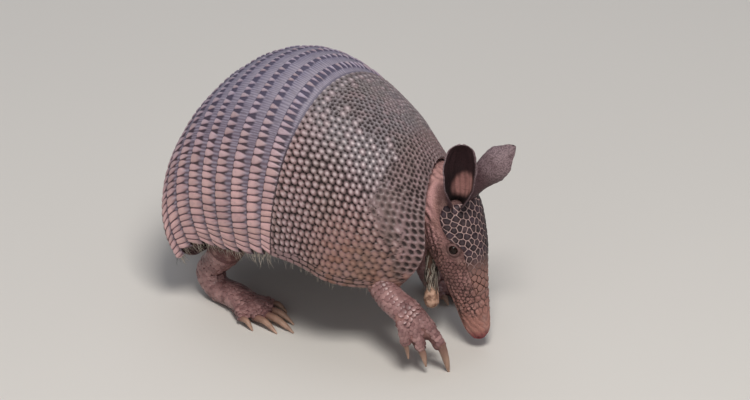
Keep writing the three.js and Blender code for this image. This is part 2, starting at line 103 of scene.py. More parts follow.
# The section is part of an ellipse, tall over the shoulders and low over the loins. Its sides sweep back.
HALF_BANDS, HALF_SHOULDER = BANDS_END / 2, SHOULDER_LENGTH / 2
climb = through([HIPS_END, 97], [BANDS_END, 66], [HALF_BANDS, 23], [0, -12.5], [SHOULDER_LENGTH, -42.5])
loin_width = [HIPS_END, 30], [BANDS_END - 42, 68], [BANDS_END, 86], [HALF_BANDS, 77.5]
half_width = through(*loin_width, [0, 70.5], [HALF_SHOULDER, 68.5], [SHOULDER_LENGTH, 34.5])
loin_depth = [HIPS_END, 34], [BANDS_END, 46], [HALF_BANDS, 79]
half_depth = through(*loin_depth, [0, 99], [HALF_SHOULDER, 95], [SHOULDER_LENGTH, 37.5])
loin_edge = [HIPS_END, 88], [BANDS_END - 30, 102], [BANDS_END, 112], [HALF_BANDS, 113]
edge_angle = through(*loin_edge, [0, 91], [HALF_SHOULDER, 85.5], [SHOULDER_LENGTH, 111])
side_sweep = through([HIPS_END, -16], [BANDS_END, -50], [HALF_BANDS, -20], [0, 25], [SHOULDER_LENGTH, 41])


def turned_at(t):
    return np.radians(TURN_PER_MM * np.maximum(0, t))


def forward_at(t):
    up, left = np.radians(climb(t)), turned_at(t)
    return np.stack([np.cos(up) * np.cos(left), np.cos(up) * np.sin(left), np.sin(up)], -1)


LINE_PLACES = np.arange(math.floor(HIPS_END) - 20, math.ceil(SHOULDER_LENGTH) + 21, dtype=float)
line_steps = forward_at((LINE_PLACES[1:] + LINE_PLACES[:-1]) / 2)
back_line = np.concatenate([np.zeros((1, 3)), np.cumsum(line_steps, 0)])
back_line += np.array([0, 0, BACK_HEIGHT]) - back_line[LINE_PLACES == 0][0]


def back_point(t):
    return np.stack([np.interp(t, LINE_PLACES, back_line[:, axis]) for axis in range(3)], -1)


def shell_point(t, u, depth=0.0):
    """A point of the shell: t along the back, u from -1 at the right edge to 1 at the left."""
    t, u, depth = np.broadcast_arrays(np.asarray(t, float), u, depth)
    forward, turned = forward_at(t), turned_at(t)
    left = np.stack([-np.sin(turned), np.cos(turned), 0 * t], -1)
    up = np.cross(forward, left)
    angle = u * np.radians(edge_angle(t))
    wide, deep = half_width(t), half_depth(t)
    slant = np.hypot(deep * np.sin(angle), wide * np.cos(angle))
    sideways = wide * np.sin(angle) - depth * deep * np.sin(angle) / slant
    down = deep * (1 - np.cos(angle)) + depth * wide * np.cos(angle) / slant
    swept = side_sweep(t) * (1 - np.cos(angle))
    return back_point(t) + left * sideways[..., None] - up * down[..., None] + forward * swept[..., None]


def smooth_between(low, high, x):
    s = np.clip((np.asarray(x, float) - low) / (high - low), 0, 1)
    return s * s * (3 - 2 * s)


def in_scene(name, data):
    made = bpy.data.objects.new(name, data)
    bpy.context.scene.collection.objects.link(made)
    return made


def store_marks(mesh, marks):
    """Keeps a number or a row of three for each of the mesh's points, for materials and trees to read."""
    for mark, values in marks.items():
        values = np.asarray(values, np.float32)
        kind, field = ("FLOAT_VECTOR", "vector") if values.ndim == 2 else ("FLOAT", "value")
        mesh.attributes.new(mark, kind, "POINT").data.foreach_set(field, values.ravel())


def new_piece(name, points, faces, marks=None, sharp_from=60):
    """A mesh object from points in millimetres, with its marks; edges past sharp_from degrees stay sharp."""
    mesh = bpy.data.meshes.new(name)
    mesh.from_pydata(((np.asarray(points) + CENTRING) * METRES).tolist(), [], faces)
    mesh.update()
    mesh.shade_smooth()
    if sharp_from:
        mesh.set_sharp_from_angle(angle=math.radians(sharp_from))
    store_marks(mesh, marks or {})
    return in_scene(name, mesh)


def sheet(rows, columns, start=0.0):
    """Even places on a plate: v from start to 1 along it, and u from -1 to 1 across it."""
    return np.meshgrid(np.linspace(start, 1, rows), np.linspace(-1, 1, columns), indexing="ij")


def quads(grid):
    return np.stack([grid[:-1, :-1], grid[1:, :-1], grid[1:, 1:], grid[:-1, 1:]], -1).reshape(-1, 4).tolist()


def plate_piece(name, outer, inner, marks, stride=4):
    """A closed plate: a fine outer face, an inner one with every stride-th row and column, and the rim."""
    rows, columns = outer.shape[:2]
    inner = inner[::stride, ::stride]
    fine = np.arange(rows * columns).reshape(rows, columns)
    coarse = rows * columns + np.arange(inner.shape[0] * inner.shape[1]).reshape(inner.shape[:2])
    faces = quads(fine) + quads(coarse[:, ::-1])
    rims = [(fine[0], coarse[0]), (fine[-1, ::-1], coarse[-1, ::-1])]
    rims += [(fine[:, -1], coarse[:, -1]), (fine[::-1, 0], coarse[::-1, 0])]
    for fine_rim, coarse_rim in rims:
        for n in range(len(coarse_rim) - 1):
            along = fine_rim[n * stride : (n + 1) * stride + 1]
            faces.append([*along.tolist(), int(coarse_rim[n + 1]), int(coarse_rim[n])])
    points = np.concatenate([outer.reshape(-1, 3), inner.reshape(-1, 3)])
    kept = {
        mark: np.concatenate([values.ravel(), values[::stride, ::stride].ravel()])
        for mark, values in marks.items()
    }
    return new_piece(name, points, faces, kept)


def across_rows(points):
    """How far each grid point lies along its row from the crest, right side negative, and from an end."""
    steps = np.linalg.norm(np.diff(points, axis=1), axis=2)
    run = np.concatenate([np.zeros((len(points), 1)), np.cumsum(steps, 1)], 1)
    return run - run[:, [run.shape[1] // 2]], np.minimum(run, run[:, [-1]] - run)


def chance(*keys, seed=0):
    """A repeatable number from 0 to 1 for each whole-number key, such as a scute's row and column."""
    mixed = np.full(np.broadcast(*keys).shape, 12.9898 * (seed + 1))
    for n, key in enumerate(keys):
        mixed = mixed + np.asarray(key, float) * (78.233, 37.719)[n % 2]
    return np.modf(np.abs(np.sin(mixed) * 43758.5453))[0]


def scute_field(column, row, column_pitch, row_pitch, unevenness=0.16):
    """For points on a honeycomb of scutes: distances to the three nearest centres, and a tint for each."""
    near_column = np.round(column)
    distances, tints = [], []
    for column_step in (-1, 0, 1):
        i = near_column + column_step
        stagger = 0.5 * np.mod(i, 2)
        near_row = np.round(row - stagger)
        for row_step in (-1, 0, 1):
            j = near_row + row_step
            to_column = column - i + unevenness * (chance(i, j, seed=1) - 0.5)
            to_row = row - stagger - j + unevenness * (chance(i, j, seed=2) - 0.5)
            distances.append(np.hypot(to_column * column_pitch, to_row * row_pitch))
            tints.append(chance(i, j, seed=3))
    distances, tints = np.stack(distances), np.stack(tints)
    order = np.argsort(distances, axis=0)
    nearest = np.take_along_axis(distances, order[:3], 0)
    return nearest[0], nearest[1], nearest[2], np.take_along_axis(tints, order[:1], 0)[0]


def shield_front(u):
    into_corner = np.maximum(0, (np.abs(u) - CORNER_FROM) / (1 - CORNER_FROM))
    return SHOULDER_LENGTH - CORNER_CUT * into_corner**2


def scute_relief(first, third, flat, roundness=0.50):
    """Height and marks of domed scutes; flat is 1 where they sink into a smoother surface with pits."""
    dome = np.clip(1 - (first / (roundness * SCUTE_PITCH * (1 + 0.25 * flat))) ** 2, 0, 1)
    pit = 1 - smooth_between(0.25 + 0.2 * flat, 1.15 + 0.3 * flat, third - first)
    groove = 1 - smooth_between(0.0, 0.42, dome)
    # dark is painted shade: in the grooves round each dome and in the pits where three scutes meet.
    dark = np.clip(groove * (0.62 - 0.42 * flat) + pit * (1 - 0.38 * flat), 0, 1)
    height = DOME_RELIEF * (1 - 0.5 * flat) * dome**0.8 - 0.45 * groove * (1 - flat) - PIT_RELIEF * pit
    return height, {"dome": dome, "dark": dark, "flat": flat}


def margin_scutes(from_margin, along):
    """Height, painted groove shade and share of the rows of longer scutes that edge a shield."""
    row = from_margin / MARGIN_PITCH
    number = np.floor(row)
    up = 2 * np.modf(row)[0] - 1
    place = along / MARGIN_SCUTE + 0.37 * number + 0.12 * chance(np.floor(along / MARGIN_SCUTE), number)
    across = 2 * np.modf(place + 40)[0] - 1
    height = np.clip(1 - np.abs(up) ** 3 - np.abs(across) ** 4, 0, 1)
    share = smooth_between(MARGIN_ROWS + 0.25, MARGIN_ROWS - 0.05, row)
    return 0.7 * np.sqrt(height) - 0.2, 1 - smooth_between(0.0, 0.45, height), share


v, u = sheet(157, 461)
t = GAP / 2 + v * (shield_front(u) - GAP / 2)
surface = shell_point(t, u)
from_crest, from_margin = across_rows(surface)
side = np.abs(from_crest) / SIDE_ARC
along = v * SHOULDER_LENGTH
column_at = through([0, 0], [6, 1], [11, 2], [44, 9], [57.5, 12.5], [64, 14.5], [81.5, 20.3], [85, 21.5])
row_pitch = ROW_SHARE * SCUTE_PITCH
first, second, third, tint = scute_field(
    column_at(along), from_crest / SCUTE_PITCH, row_pitch, SCUTE_PITCH, 0.22
)
neck = smooth_between(52, 69, along) * smooth_between(0.60, 0.38, side)
neck = np.maximum(neck, smooth_between(73, 79, along) * smooth_between(0.70, 0.56, side))
crest = smooth_between(0.44, 0.26, side)
lower_front = smooth_between(0.5, 0.68, side) * smooth_between(28, 60, along)
flat = np.clip(np.maximum(np.maximum(neck, crest), 0.25 * lower_front), 0, 1)
height, shoulder_marks = scute_relief(first, third, flat, 0.50 + 0.06 * lower_front - 0.12 * crest)

# By the neck each scute has a hollow, painted dark as shade, and a ridge round it that is painted lighter.
# Along the crest both are finer.
along_crest = smooth_between(0.26, 0.06, side) * smooth_between(4, 14, along)
pitted = smooth_between(-0.12, 0.12, 1.24 * np.maximum(neck, along_crest) - 0.12 - tint)
at_edge = smooth_between(70, 82, along) * smooth_between(0.12, 0.25, side)
hollow_size = 1.35 + 0.3 * at_edge
hollow = 1 - smooth_between(0.55 * hollow_size, 1.3 * hollow_size, first)
ridge = 1 - smooth_between(0.1, 1.3, second - first)
fine_row_pitch = ROW_SHARE * FINE_PITCH
fine_first, fine_second, _, _ = scute_field(
    along / fine_row_pitch, from_crest / FINE_PITCH, fine_row_pitch, FINE_PITCH, 0.4
)
fine = smooth_between(0.36, 0.28, side)
hollow += fine * (1 - smooth_between(0.55, 1.35, fine_first) - hollow)
ridge += fine * (1 - smooth_between(0.1, 0.9, fine_second - fine_first) - ridge)
height += pitted * (0.1 + 0.45 * ridge - 1.0 * hollow - height)
shoulder_marks["dark"] += pitted * (hollow * (0.6 + 0.3 * at_edge + 0.25 * fine) - shoulder_marks["dark"])
shoulder_marks["dome"] += pitted * (0.35 + 0.45 * ridge - shoulder_marks["dome"])

run = np.concatenate([np.zeros((1, u.shape[1])), np.linalg.norm(np.diff(surface, axis=0), axis=2)])
edge_height, edge_dark, edge = margin_scutes(from_margin, np.cumsum(run, 0))
height = height * (1 - edge) + edge_height * edge
shoulder_marks["dark"] = shoulder_marks["dark"] * (1 - 0.25 * lower_front) * (1 - edge) + edge_dark * edge
shoulder_marks["dome"] = shoulder_marks["dome"] * (1 - edge) + (1 - edge_dark) * 0.6 * edge
edge_round = smooth_between(0, 1.2, np.minimum(from_margin, np.minimum(along, SHOULDER_LENGTH - along)))
depth = SCUTE_COVER + (1 - edge_round) * 0.6 - height
low = smooth_between(0.4, 0.8, side) * smooth_between(5, 75, along)
shoulder_marks |= {"tint": tint, "side": side, "fore": v, "neck": pitted, "low": low}
thickness = np.where(v > 0.97, PLATE_THICKNESS + 0.6, INNER_DEPTH)
shield_shoulder = plate_piece(
    "shield_shoulder_scutes", shell_point(t, u, depth), shell_point(t, u, thickness), shoulder_marks
)


class Socket:
    """An output of a shader node. Python's arithmetic on it adds Math nodes."""

    def __init__(self, paint, output):
        self.paint = paint
        self.output = output

    def math(self, operation, *values):
        return self.paint.node("ShaderNodeMath", {"operation": operation}, dict(enumerate(values)))

    def __add__(self, other):
        return self.math("ADD", self, other)

    __radd__ = __add__

    def __sub__(self, other):
        return self.math("SUBTRACT", self, other)

    def __rsub__(self, other):
        return self.math("SUBTRACT", other, self)

    def __mul__(self, other):
        return self.math("MULTIPLY", self, other)

    __rmul__ = __mul__

    def between(self, low, high):
        """0 below low, 1 above high, and a smooth rise from one to the other."""
        settings = {"interpolation_type": "SMOOTHSTEP"}
        return self.paint.node("ShaderNodeMapRange", settings, {"Value": self, 1: low, 2: high})


class Paint:
    """A material and its nodes."""

    def __init__(self, name, **constants):
        self.material = bpy.data.materials.new(name)
        self.material.use_nodes = True
        self.tree = self.material.node_tree
        self.shader = self.tree.nodes["Principled BSDF"]
        self.finish(**constants)

    def connect(self, socket, value):
        if isinstance(value, Socket):
            self.tree.links.new(value.output, socket)
        else:
            socket.default_value = value

    def node(self, kind, settings=None, inputs=None, output=0):
        made = self.tree.nodes.new(kind)
        for setting, value in (settings or {}).items():
            setattr(made, setting, value)
        for socket, value in (inputs or {}).items():
            self.connect(made.inputs[socket], value)
        return Socket(self, made.outputs[output])

    def marks(self, *names):
        return [self.node("ShaderNodeAttribute", {"attribute_name": name}, output="Fac") for name in names]

    def place(self, stretch=(1.0, 1.0, 1.0)):
        where = self.node("ShaderNodeTexCoord", output="Object")
        return self.node("ShaderNodeMapping", None, {"Vector": where, "Scale": stretch})

    def noise(self, scale, detail=3.0, stretch=(1.0, 1.0, 1.0)):
        inputs = {"Vector": self.place(stretch), "Scale": scale, "Detail": detail}
        return self.node("ShaderNodeTexNoise", None, inputs)

    def cells(self, scale, feature="F1"):
        inputs = {"Vector": self.place(), "Scale": scale}
        return self.node("ShaderNodeTexVoronoi", {"feature": feature}, inputs, "Distance")

    def blend(self, share, first, second):
        """A mix of two tones, each a socket or a paint-chart colour: red, green and blue from 0 to 255."""
        tones = [tone if isinstance(tone, Socket) else chart_light(tone) for tone in (first, second)]
        return self.node("ShaderNodeMix", {"data_type": "RGBA"}, {0: share, 6: tones[0], 7: tones[1]}, 2)

    def coats(self, tone, *coats):
        """The tone with coats laid over it in turn, each a share and a tone."""
        for share, coat in coats:
            tone = self.blend(share, tone, coat)
        return tone

    def bump(self, height, distance, strength):
        inputs = {"Height": height, "Distance": distance, "Strength": strength}
        return self.node("ShaderNodeBump", None, inputs)

    def finish(self, **sockets):
        for socket, value in sockets.items():
            self.connect(self.shader.inputs[socket.replace("_", " ")], value)
        return self.material


def chart_light(colour):
    """A paint-chart colour as the linear light that shaders mix."""
    shares = np.array(colour) / 255
    light = np.where(shares <= 0.04045, shares / 12.92, ((shares + 0.055) / 1.055) ** 2.4)
    return (*light.tolist(), 1.0)


# The hip shield and tail share this horn. A mark that a piece doesn't have reads as 0.
paint = Paint("shield_horn", IOR=1.5)
dome_mark, dark_mark, flat_mark, side_mark = paint.marks("dome", "dark", "flat", "side")
fore_mark, tint_mark, neck_mark, low_mark = paint.marks("fore", "tint", "neck", "low")
brown = low_mark * 0.9 + side_mark.between(0.35, 0.7) * fore_mark.between(0.2, 0.9) * 0.6
by_neck = neck_mark * fore_mark.between(0.62, 0.8)
by_bands = (1 - fore_mark.between(0.05, 0.11)) * side_mark.between(0.2, 0.5)
horn = paint.coats(
    paint.blend(side_mark.between(0.25, 0.55), (124, 114, 118), (148, 119, 120)),
    (brown * 0.9, (128, 88, 75)),
    (by_neck * 0.75, (122, 98, 97)),
    (by_bands * 0.6, (172, 138, 136)),
    (paint.noise(38.0, 4.0).between(0.4, 0.7) * 0.32, (108, 100, 90)),
    (tint_mark.between(0.3, 1.0) * 0.30, (166, 136, 140)),
)
# Painted light: the domes' feet are darkened as shade, and their tops lightened as a painted highlight.
highlight_tone = paint.blend(brown, (212, 194, 195), (162, 125, 112))
shaded_horn = paint.coats(
    paint.blend(0.62, horn, (58, 40, 40)),
    (dome_mark.between(0.15, 0.85) + flat_mark * 0.5, horn),
    (dome_mark.between(0.68, 1.0) * (1 - neck_mark * 0.6) * 0.6, highlight_tone),
    # The dark mark is painted shade in the grooves, pits and ring gaps.
    (dark_mark.between(0.1, 0.85) * 0.95, (34, 21, 21)),
)
grain = paint.noise(900.0, 2.0)
SHIELD_HORN = paint.finish(
    Base_Color=shaded_horn, Roughness=0.36 + dark_mark * 0.4 + grain * 0.1, Normal=paint.bump(grain, 0.00012, 0.5)
)
shield_shoulder.data.materials.append(SHIELD_HORN)
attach(shield_shoulder, "root")
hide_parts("shield_shoulder")


# ---------------------------------------------------------------- movable bands
# Nine bands join the shields. Each is a row of narrow scutes on a thin plate, raised at its free rear edge
# over the next band. Low on the sides they fill the band; towards the crest they shrink to short teeth.

FIRST_BAND_PITCH = 4.6
BAND_SCUTE_PITCH = 5.2
TOOTH_RELIEF = 0.95
END_FROM = 0.85  # the share of a half band from which its rounded end is drawn in
tooth_length = through([0, 0.42], [0.2, 0.5], [0.45, 0.66], [0.65, 0.80], [0.8, 0.95], [1, 1.05])
tooth_squareness = through([0, 1.0], [0.45, 1.6], [0.65, 3.5], [1, 9])
tooth_width = through([0, 0.27], [0.2, 0.34], [0.5, 0.445])


def band_piece(number):
    front, rear = -(number - 1) * BAND_PITCH - GAP / 2, -number * BAND_PITCH + GAP / 2
    first_band = 1.0 if number == 1 else 0.0
    v, u = sheet(29, 681)
    t = rear + v * (front - rear)
    from_crest, from_end = across_rows(shell_point(t, u))
    end_reach = 1 - 0.036 * (1 - v) ** 1.6
    beyond = np.maximum(0, np.abs(u) - END_FROM) * (end_reach - END_FROM) / (1 - END_FROM)
    u = np.sign(u) * (np.minimum(np.abs(u), END_FROM) + beyond)
    half_arc = np.abs(from_crest[:, [0]])
    half_count = round(float(half_arc[14, 0]) / (FIRST_BAND_PITCH if number == 1 else BAND_SCUTE_PITCH))
    place = half_count * from_crest / half_arc
    place = place + 0.14 * np.sin(place * 0.9 + number * 2.1) + 0.08 * np.sin(place * 2.3 + number)
    scute = np.floor(place)
    across = np.abs(place - scute - 0.5)
    side = np.abs(from_crest) / half_arc
    by_shield = smooth_between(0.3, 0.55, side) * first_band
    length = tooth_length(side) * (0.9 + 0.2 * chance(scute, number, seed=7))
    ahead = v / (length * (1 + 0.5 * first_band - 0.25 * by_shield))
    rear_corner = 1 - 0.3 * (1 - np.minimum(v / 0.12, 1)) ** 2
    tooth_half = tooth_width(side) * (1 - np.clip(ahead, 0, 1) ** tooth_squareness(side)) * rear_corner
    tooth = smooth_between(0.06, -0.06, across - tooth_half)
    crown = np.clip(1 - (across / np.maximum(tooth_half, 0.08)) ** 3, 0, 1) * tooth
    # Painted shadow beside each tooth's rear, where the band ahead overlaps this one, and by the shield.
    band_shadow = (1 - tooth) * (1 - smooth_between(0.55, 1.05, ahead))
    band_shadow = np.maximum(band_shadow, 0.9 * smooth_between(0.93, 1.0, v))
    band_shadow = np.maximum(band_shadow, smooth_between(0.78, 0.9, v) * (0.5 * first_band + 0.3 * by_shield))
    ribs = 0.5 + 0.5 * np.cos(2 * math.pi * place * np.where(side < 0.5, 3, 2))
    ribs *= 0.55 + 0.45 * chance(np.floor(place * 2), number, seed=9)
    height = TOOTH_RELIEF * tooth * (0.45 + 0.55 * crown) * smooth_between(0, 0.09, v)
    height *= 0.35 + 0.65 * smooth_between(1.1, 0.6, ahead)
    height += 0.2 * ribs * (1 - tooth)
    sunk = np.interp(v, [0, 0.3, 0.7, 1], [0.1, 0.25, 0.75, BAND_STEP + 0.05])
    depth = sunk + SCUTE_COVER - height + (1 - smooth_between(0, 2.2, from_end)) * 0.9
    scallop = 0.55 * (1 - np.sqrt(np.clip(1 - (1.9 * across) ** 2, 0, 1))) * (1 - v) ** 4
    outer, inner = shell_point(t + scallop, u, depth), shell_point(t + scallop, u, INNER_DEPTH)
    marks = {"tooth": tooth * smooth_between(1.15, 0.45, ahead), "crown": crown, "band_shadow": band_shadow, "rib": ribs}
    marks |= {"side": side, "fore": v, "tint": chance(scute, number, seed=5)}
    return plate_piece(f"band_{number}_scutes", outer, inner, marks)


paint = Paint("band_horn", IOR=1.5)
tooth_mark, crown_mark, band_shadow_mark, rib_mark = paint.marks("tooth", "crown", "band_shadow", "rib")
side_mark, fore_mark, tint_mark = paint.marks("side", "fore", "tint")
low_side = side_mark.between(0.2, 0.6)
streaks = paint.noise(420.0, 3.0, stretch=(0.35, 1.0, 1.0))
strip = paint.coats(
    paint.blend(low_side, (98, 92, 114), (98, 80, 92)),
    (rib_mark * 0.75, (164, 156, 172)),
    (streaks.between(0.5, 0.72) * 0.4, (74, 64, 78)),
    ((1 - side_mark.between(0.15, 0.5)) * fore_mark.between(0.3, 0.9) * 0.35, (168, 158, 166)),
)
pale = paint.coats(
    paint.blend(side_mark.between(0.15, 0.8), (162, 152, 172), (210, 168, 167)),
    (tint_mark.between(0.3, 1.0) * 0.35, (162, 130, 114)),
    (paint.noise(330.0, 4.0).between(0.45, 0.7) * 0.3, (146, 112, 116)),
    (paint.noise(45.0, 4.0).between(0.4, 0.75) * 0.4, (136, 106, 114)),
)
horn = paint.coats(
    paint.blend(tooth_mark, strip, pale),
    # Painted light: tooth edges darkened as shade, and crowns lightened as a painted highlight.
    (tooth_mark * (1 - crown_mark.between(0.0, 0.6)) * 0.45, (120, 86, 92)),
    (crown_mark.between(0.5, 1.0) * (1 - fore_mark) * 0.22, (200, 180, 176)),
    # Painted shadow by the teeth and under the band ahead.
    (band_shadow_mark.between(0.1, 0.8) * 0.9, paint.blend(low_side, (66, 60, 82), (50, 28, 30))),
)
grain = paint.noise(700.0, 3.0)
BAND_HORN = paint.finish(
    Base_Color=horn,
    Roughness=0.44 + grain * 0.16 - crown_mark * 0.08,
    Normal=paint.bump(grain, 0.00018, 0.6),
)
for number in range(1, BAND_COUNT + 1):
    band = band_piece(number)
    band.data.materials.append(BAND_HORN)
    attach(band, "root")
    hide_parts(f"band_{number}")


# ---------------------------------------------------------------- hip shield
# The rear plate of the same bone and horn closes the shell down to the tail's root. Its domed scutes run in
# rows across the hips, its front edge lies under the last band, and its lower corners are cut away there.

HIP_CORNER_CUT = 15.0
HIP_CORNER_FROM = 0.72
HIP_SIDE_CUT = 0.085  # the share of its reach down the sides that it loses towards the last band

v, u = sheet(149, 421)
into_corner = np.maximum(0, (np.abs(u) - HIP_CORNER_FROM) / (1 - HIP_CORNER_FROM))
t = HIPS_END + v * (BANDS_END - GAP / 2 - HIP_CORNER_CUT * into_corner**2 - HIPS_END)
u = u * (1 - HIP_SIDE_CUT * smooth_between(0.5, 0.95, v))
from_crest, from_margin = across_rows(shell_point(t, u))
side = np.abs(from_crest) / SIDE_ARC
along = (1 - v) * HIP_LENGTH
first, _, third, tint = scute_field(
    along / row_pitch, from_crest / SCUTE_PITCH, row_pitch, SCUTE_PITCH, 0.2
)
# As on the shoulder shield, the grooves and pits are painted dark as shade, and the dome tops lit as
# highlights.
height, hip_marks = scute_relief(first, third, 0.8 * smooth_between(0.4, 0.15, side))
to_rear = HIP_LENGTH - along
edge_height, edge_dark, edge = margin_scutes(np.minimum(from_margin, to_rear + 0.01), along + from_crest)
height = height * (1 - edge) + edge_height * edge
hip_marks["dark"] = hip_marks["dark"] * (1 - edge) + edge_dark * edge
hip_marks |= {"tint": tint, "side": side}
tuck = np.interp(along, [0, 4, 9], [BAND_STEP, 0.4, 0])
depth = SCUTE_COVER + tuck + (1 - smooth_between(0, 1.2, np.minimum(from_margin, to_rear))) * 0.5 - height
shield_hip = plate_piece(
    "shield_hip_scutes", shell_point(t, u, depth), shell_point(t, u, INNER_DEPTH), hip_marks
)
shield_hip.data.materials.append(SHIELD_HORN)
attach(shield_hip, "root")
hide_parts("shield_hip")


# ---------------------------------------------------------------- skin
# Bare leathery skin covers the head, neck, legs and belly in one surface. It is laid over a closed round
# for each part, merged and smoothed, and then worked finer on the head: lids, mouth, nostrils and folds.

SKIN_VOXEL = 1.5
BODY_DEPTH = INNER_DEPTH + 2 * GAP  # the trunk's skin below the shell's own surface
TRUNK_FRONT = 62  # along the back
EYE_RADIUS = 3.4
EYE_AT = 37.0  # down the head from between the ears
EYE_ROUND = 57.0  # degrees round from the forehead
CHIN_PINCH = 0.16  # how much narrower the head is below than above
SNOUT_SCUTE = 4.6, 5.0  # length and width of the flat scutes between brow shield and nose
CHEEK_SCUTE = 2.5, 2.7  # and of the small warts on the cheeks
EAR_FOLDS_AT = 93, 2, 108  # the middle of the rings of folds round the ears' feet
EAR_SHADE_AT = 97, 6, 108
THICK_WAY = np.array([0.94, 0.0, 0.34])  # roughly the way in which a leg's thickness is measured
SIDES = {"right": -1, "left": 1}


def unit(*way):
    way = np.array(way, float)
    return way / np.linalg.norm(way)


FOREHEAD_TOP = np.array([95.0, 17.0, 111.0])
TO_NOSE, FACE_OUT, HEAD_LEFT = unit(0.2, 0, -0.98), unit(0.98, 0, 0.2), unit(0, 1, 0)
HEAD_LENGTH = 104.0
head_half_width = through(
    [-9, 11], [0, 15.5], [16, 19], [34, 17.5], [48, 15], [66, 12], [86, 9], [97, 8], [HEAD_LENGTH, 6]
)
head_depth = through(
    [-9, 22], [0, 35], [20, 46], [40, 44], [60, 33], [80, 24.5], [96, 19], [HEAD_LENGTH, 13]
)
forehead_sink = through(
    [-9, 9], [0, 4], [18, -2], [38, -3], [60, -0.2], [85, 1.5], [96, 1.6], [HEAD_LENGTH, 4]
)
belly_sag = through([HIPS_END, 4], [BANDS_END, 10], [0, 26], [TRUNK_FRONT, 12])


def head_point(s, angle, extra=0.0):
    """A point on the head: s from the ears towards the nose, and the angle round it from the forehead."""
    s, angle, extra = np.broadcast_arrays(np.asarray(s, float), angle, extra)
    pinch = 1 - CHIN_PINCH * np.maximum(0, -np.cos(angle))
    out = -forehead_sink(s) - head_depth(s) / 2 + (head_depth(s) / 2 + extra) * np.cos(angle)
    sideways = (head_half_width(s) + extra) * pinch * np.sin(angle)
    on_middle = FOREHEAD_TOP + TO_NOSE * s[..., None] + FACE_OUT * out[..., None]
    return on_middle + HEAD_LEFT * sideways[..., None]


def flowing(stations, spacing):
    """Evenly spaced rows along a smooth curve through the given rows; a row's first three are its place."""
    stations = np.array(stations, float)
    run = np.concatenate([[0], np.cumsum(np.linalg.norm(np.diff(stations[:, :3], axis=0), axis=1))])
    slopes = np.gradient(stations, run, axis=0)
    at = np.linspace(0, run[-1], max(2, round(run[-1] / spacing)) + 1)
    i = np.clip(np.searchsorted(run, at, side="right") - 1, 0, len(run) - 2)
    length = (run[i + 1] - run[i])[:, None]
    s = (at - run[i])[:, None] / length
    start = stations[i] * (1 + 2 * s) * (1 - s) ** 2 + slopes[i] * length * s * (1 - s) ** 2
    return start + stations[i + 1] * s**2 * (3 - 2 * s) + slopes[i + 1] * length * s**2 * (s - 1)


def directions(line, thick):
    """The ways along a line, across it and through it; thick is roughly the way through it."""
    tangents = np.gradient(line[:, :3], axis=0)
    tangents /= np.linalg.norm(tangents, axis=1)[:, None]
    across = np.cross(thick, tangents)
    across /= np.linalg.norm(across, axis=1)[:, None]
    return tangents, across, np.cross(tangents, across)


def limb_rings(stations, thick, around=32, spacing=1.5, round_ends=0.0):
    """Rings round a bent limb, whose stations are [x, y, z, half-width, half-thickness]."""
    line = flowing(stations, spacing)
    _, across, deep = directions(line, thick)
    sizes = line[:, 3:5]
    if round_ends:
        run = np.arange(len(line)) * spacing
        from_end = np.minimum(run, run[-1] - run) / round_ends
        sizes = sizes * np.sqrt(np.clip(1 - (1 - np.clip(from_end, 0.05, 1)) ** 2, 0, 1))[:, None]
    angle = np.linspace(0, 2 * math.pi, around, endpoint=False)
    ring = across[:, None] * (sizes[:, :1] * np.cos(angle))[..., None]
    return line[:, None, :3] + ring + deep[:, None] * (sizes[:, 1:] * np.sin(angle))[..., None]


def loft(rings):
    """The points and faces of a closed solid through rings of points."""
    count, around = rings.shape[:2]
    grid = np.arange(count * around).reshape(count, around)
    turned = np.roll(grid, -1, axis=1)
    faces = np.stack([grid[:-1], turned[:-1], turned[1:], grid[1:]], -1).reshape(-1, 4).tolist()
    faces += [(count * around, b, a) for a, b in zip(grid[0], turned[0])]
    faces += [(count * around + 1, a, b) for a, b in zip(grid[-1], turned[-1])]
    return np.concatenate([rings.reshape(-1, 3), [rings[0].mean(0), rings[-1].mean(0)]]), faces


def joined(solids):
    """The points and faces of several closed solids, taken together."""
    points, faces = [], []
    for solid_points, solid_faces in solids:
        faces += [tuple(int(i) + len(points) for i in face) for face in solid_faces]
        points += solid_points.tolist()
    return points, faces


def leg(line, toes):
    """The limb's line and its toes, each as [knuckle, end, claw tip, toe radius, claw width]."""
    return {"line": line, "toes": toes}


def hind_leg(side, shift):
    line = [
        (-72, 44, 82, 17, 24),
        (-62, 50, 62, 17, 22),
        (-54, 51, 44, 13, 14),
        (-61, 51, 30, 9.5, 9.5),
        (-70, 52, 14, 8.5, 8.5),
        (-62, 52, 7.4, 9, 7.8),
        (-46, 52, 7.2, 10, 7.6),
        (-32, 53, 5.6, 12, 6),
    ]
    toes = []
    for spread in (-1, -0.5, 0, 0.5, 1):
        reach, y, splay = 14 - 7 * spread**2, 53 + 9.5 * spread, 53 + 14 * spread
        knuckle, end = (shift - 34, side * y, 5.2), (shift - 34 + reach, side * splay, 4.2)
        tip = (shift - 20 + 1.9 * reach - 8 * abs(spread), side * (splay + 2 * spread), 0.4)
        toes.append((knuckle, end, tip, 4.2 - 0.8 * abs(spread), 2.7 - 0.6 * abs(spread)))
    return leg([(x + shift, side * y, z, wide, thick) for x, y, z, wide, thick in line], toes)


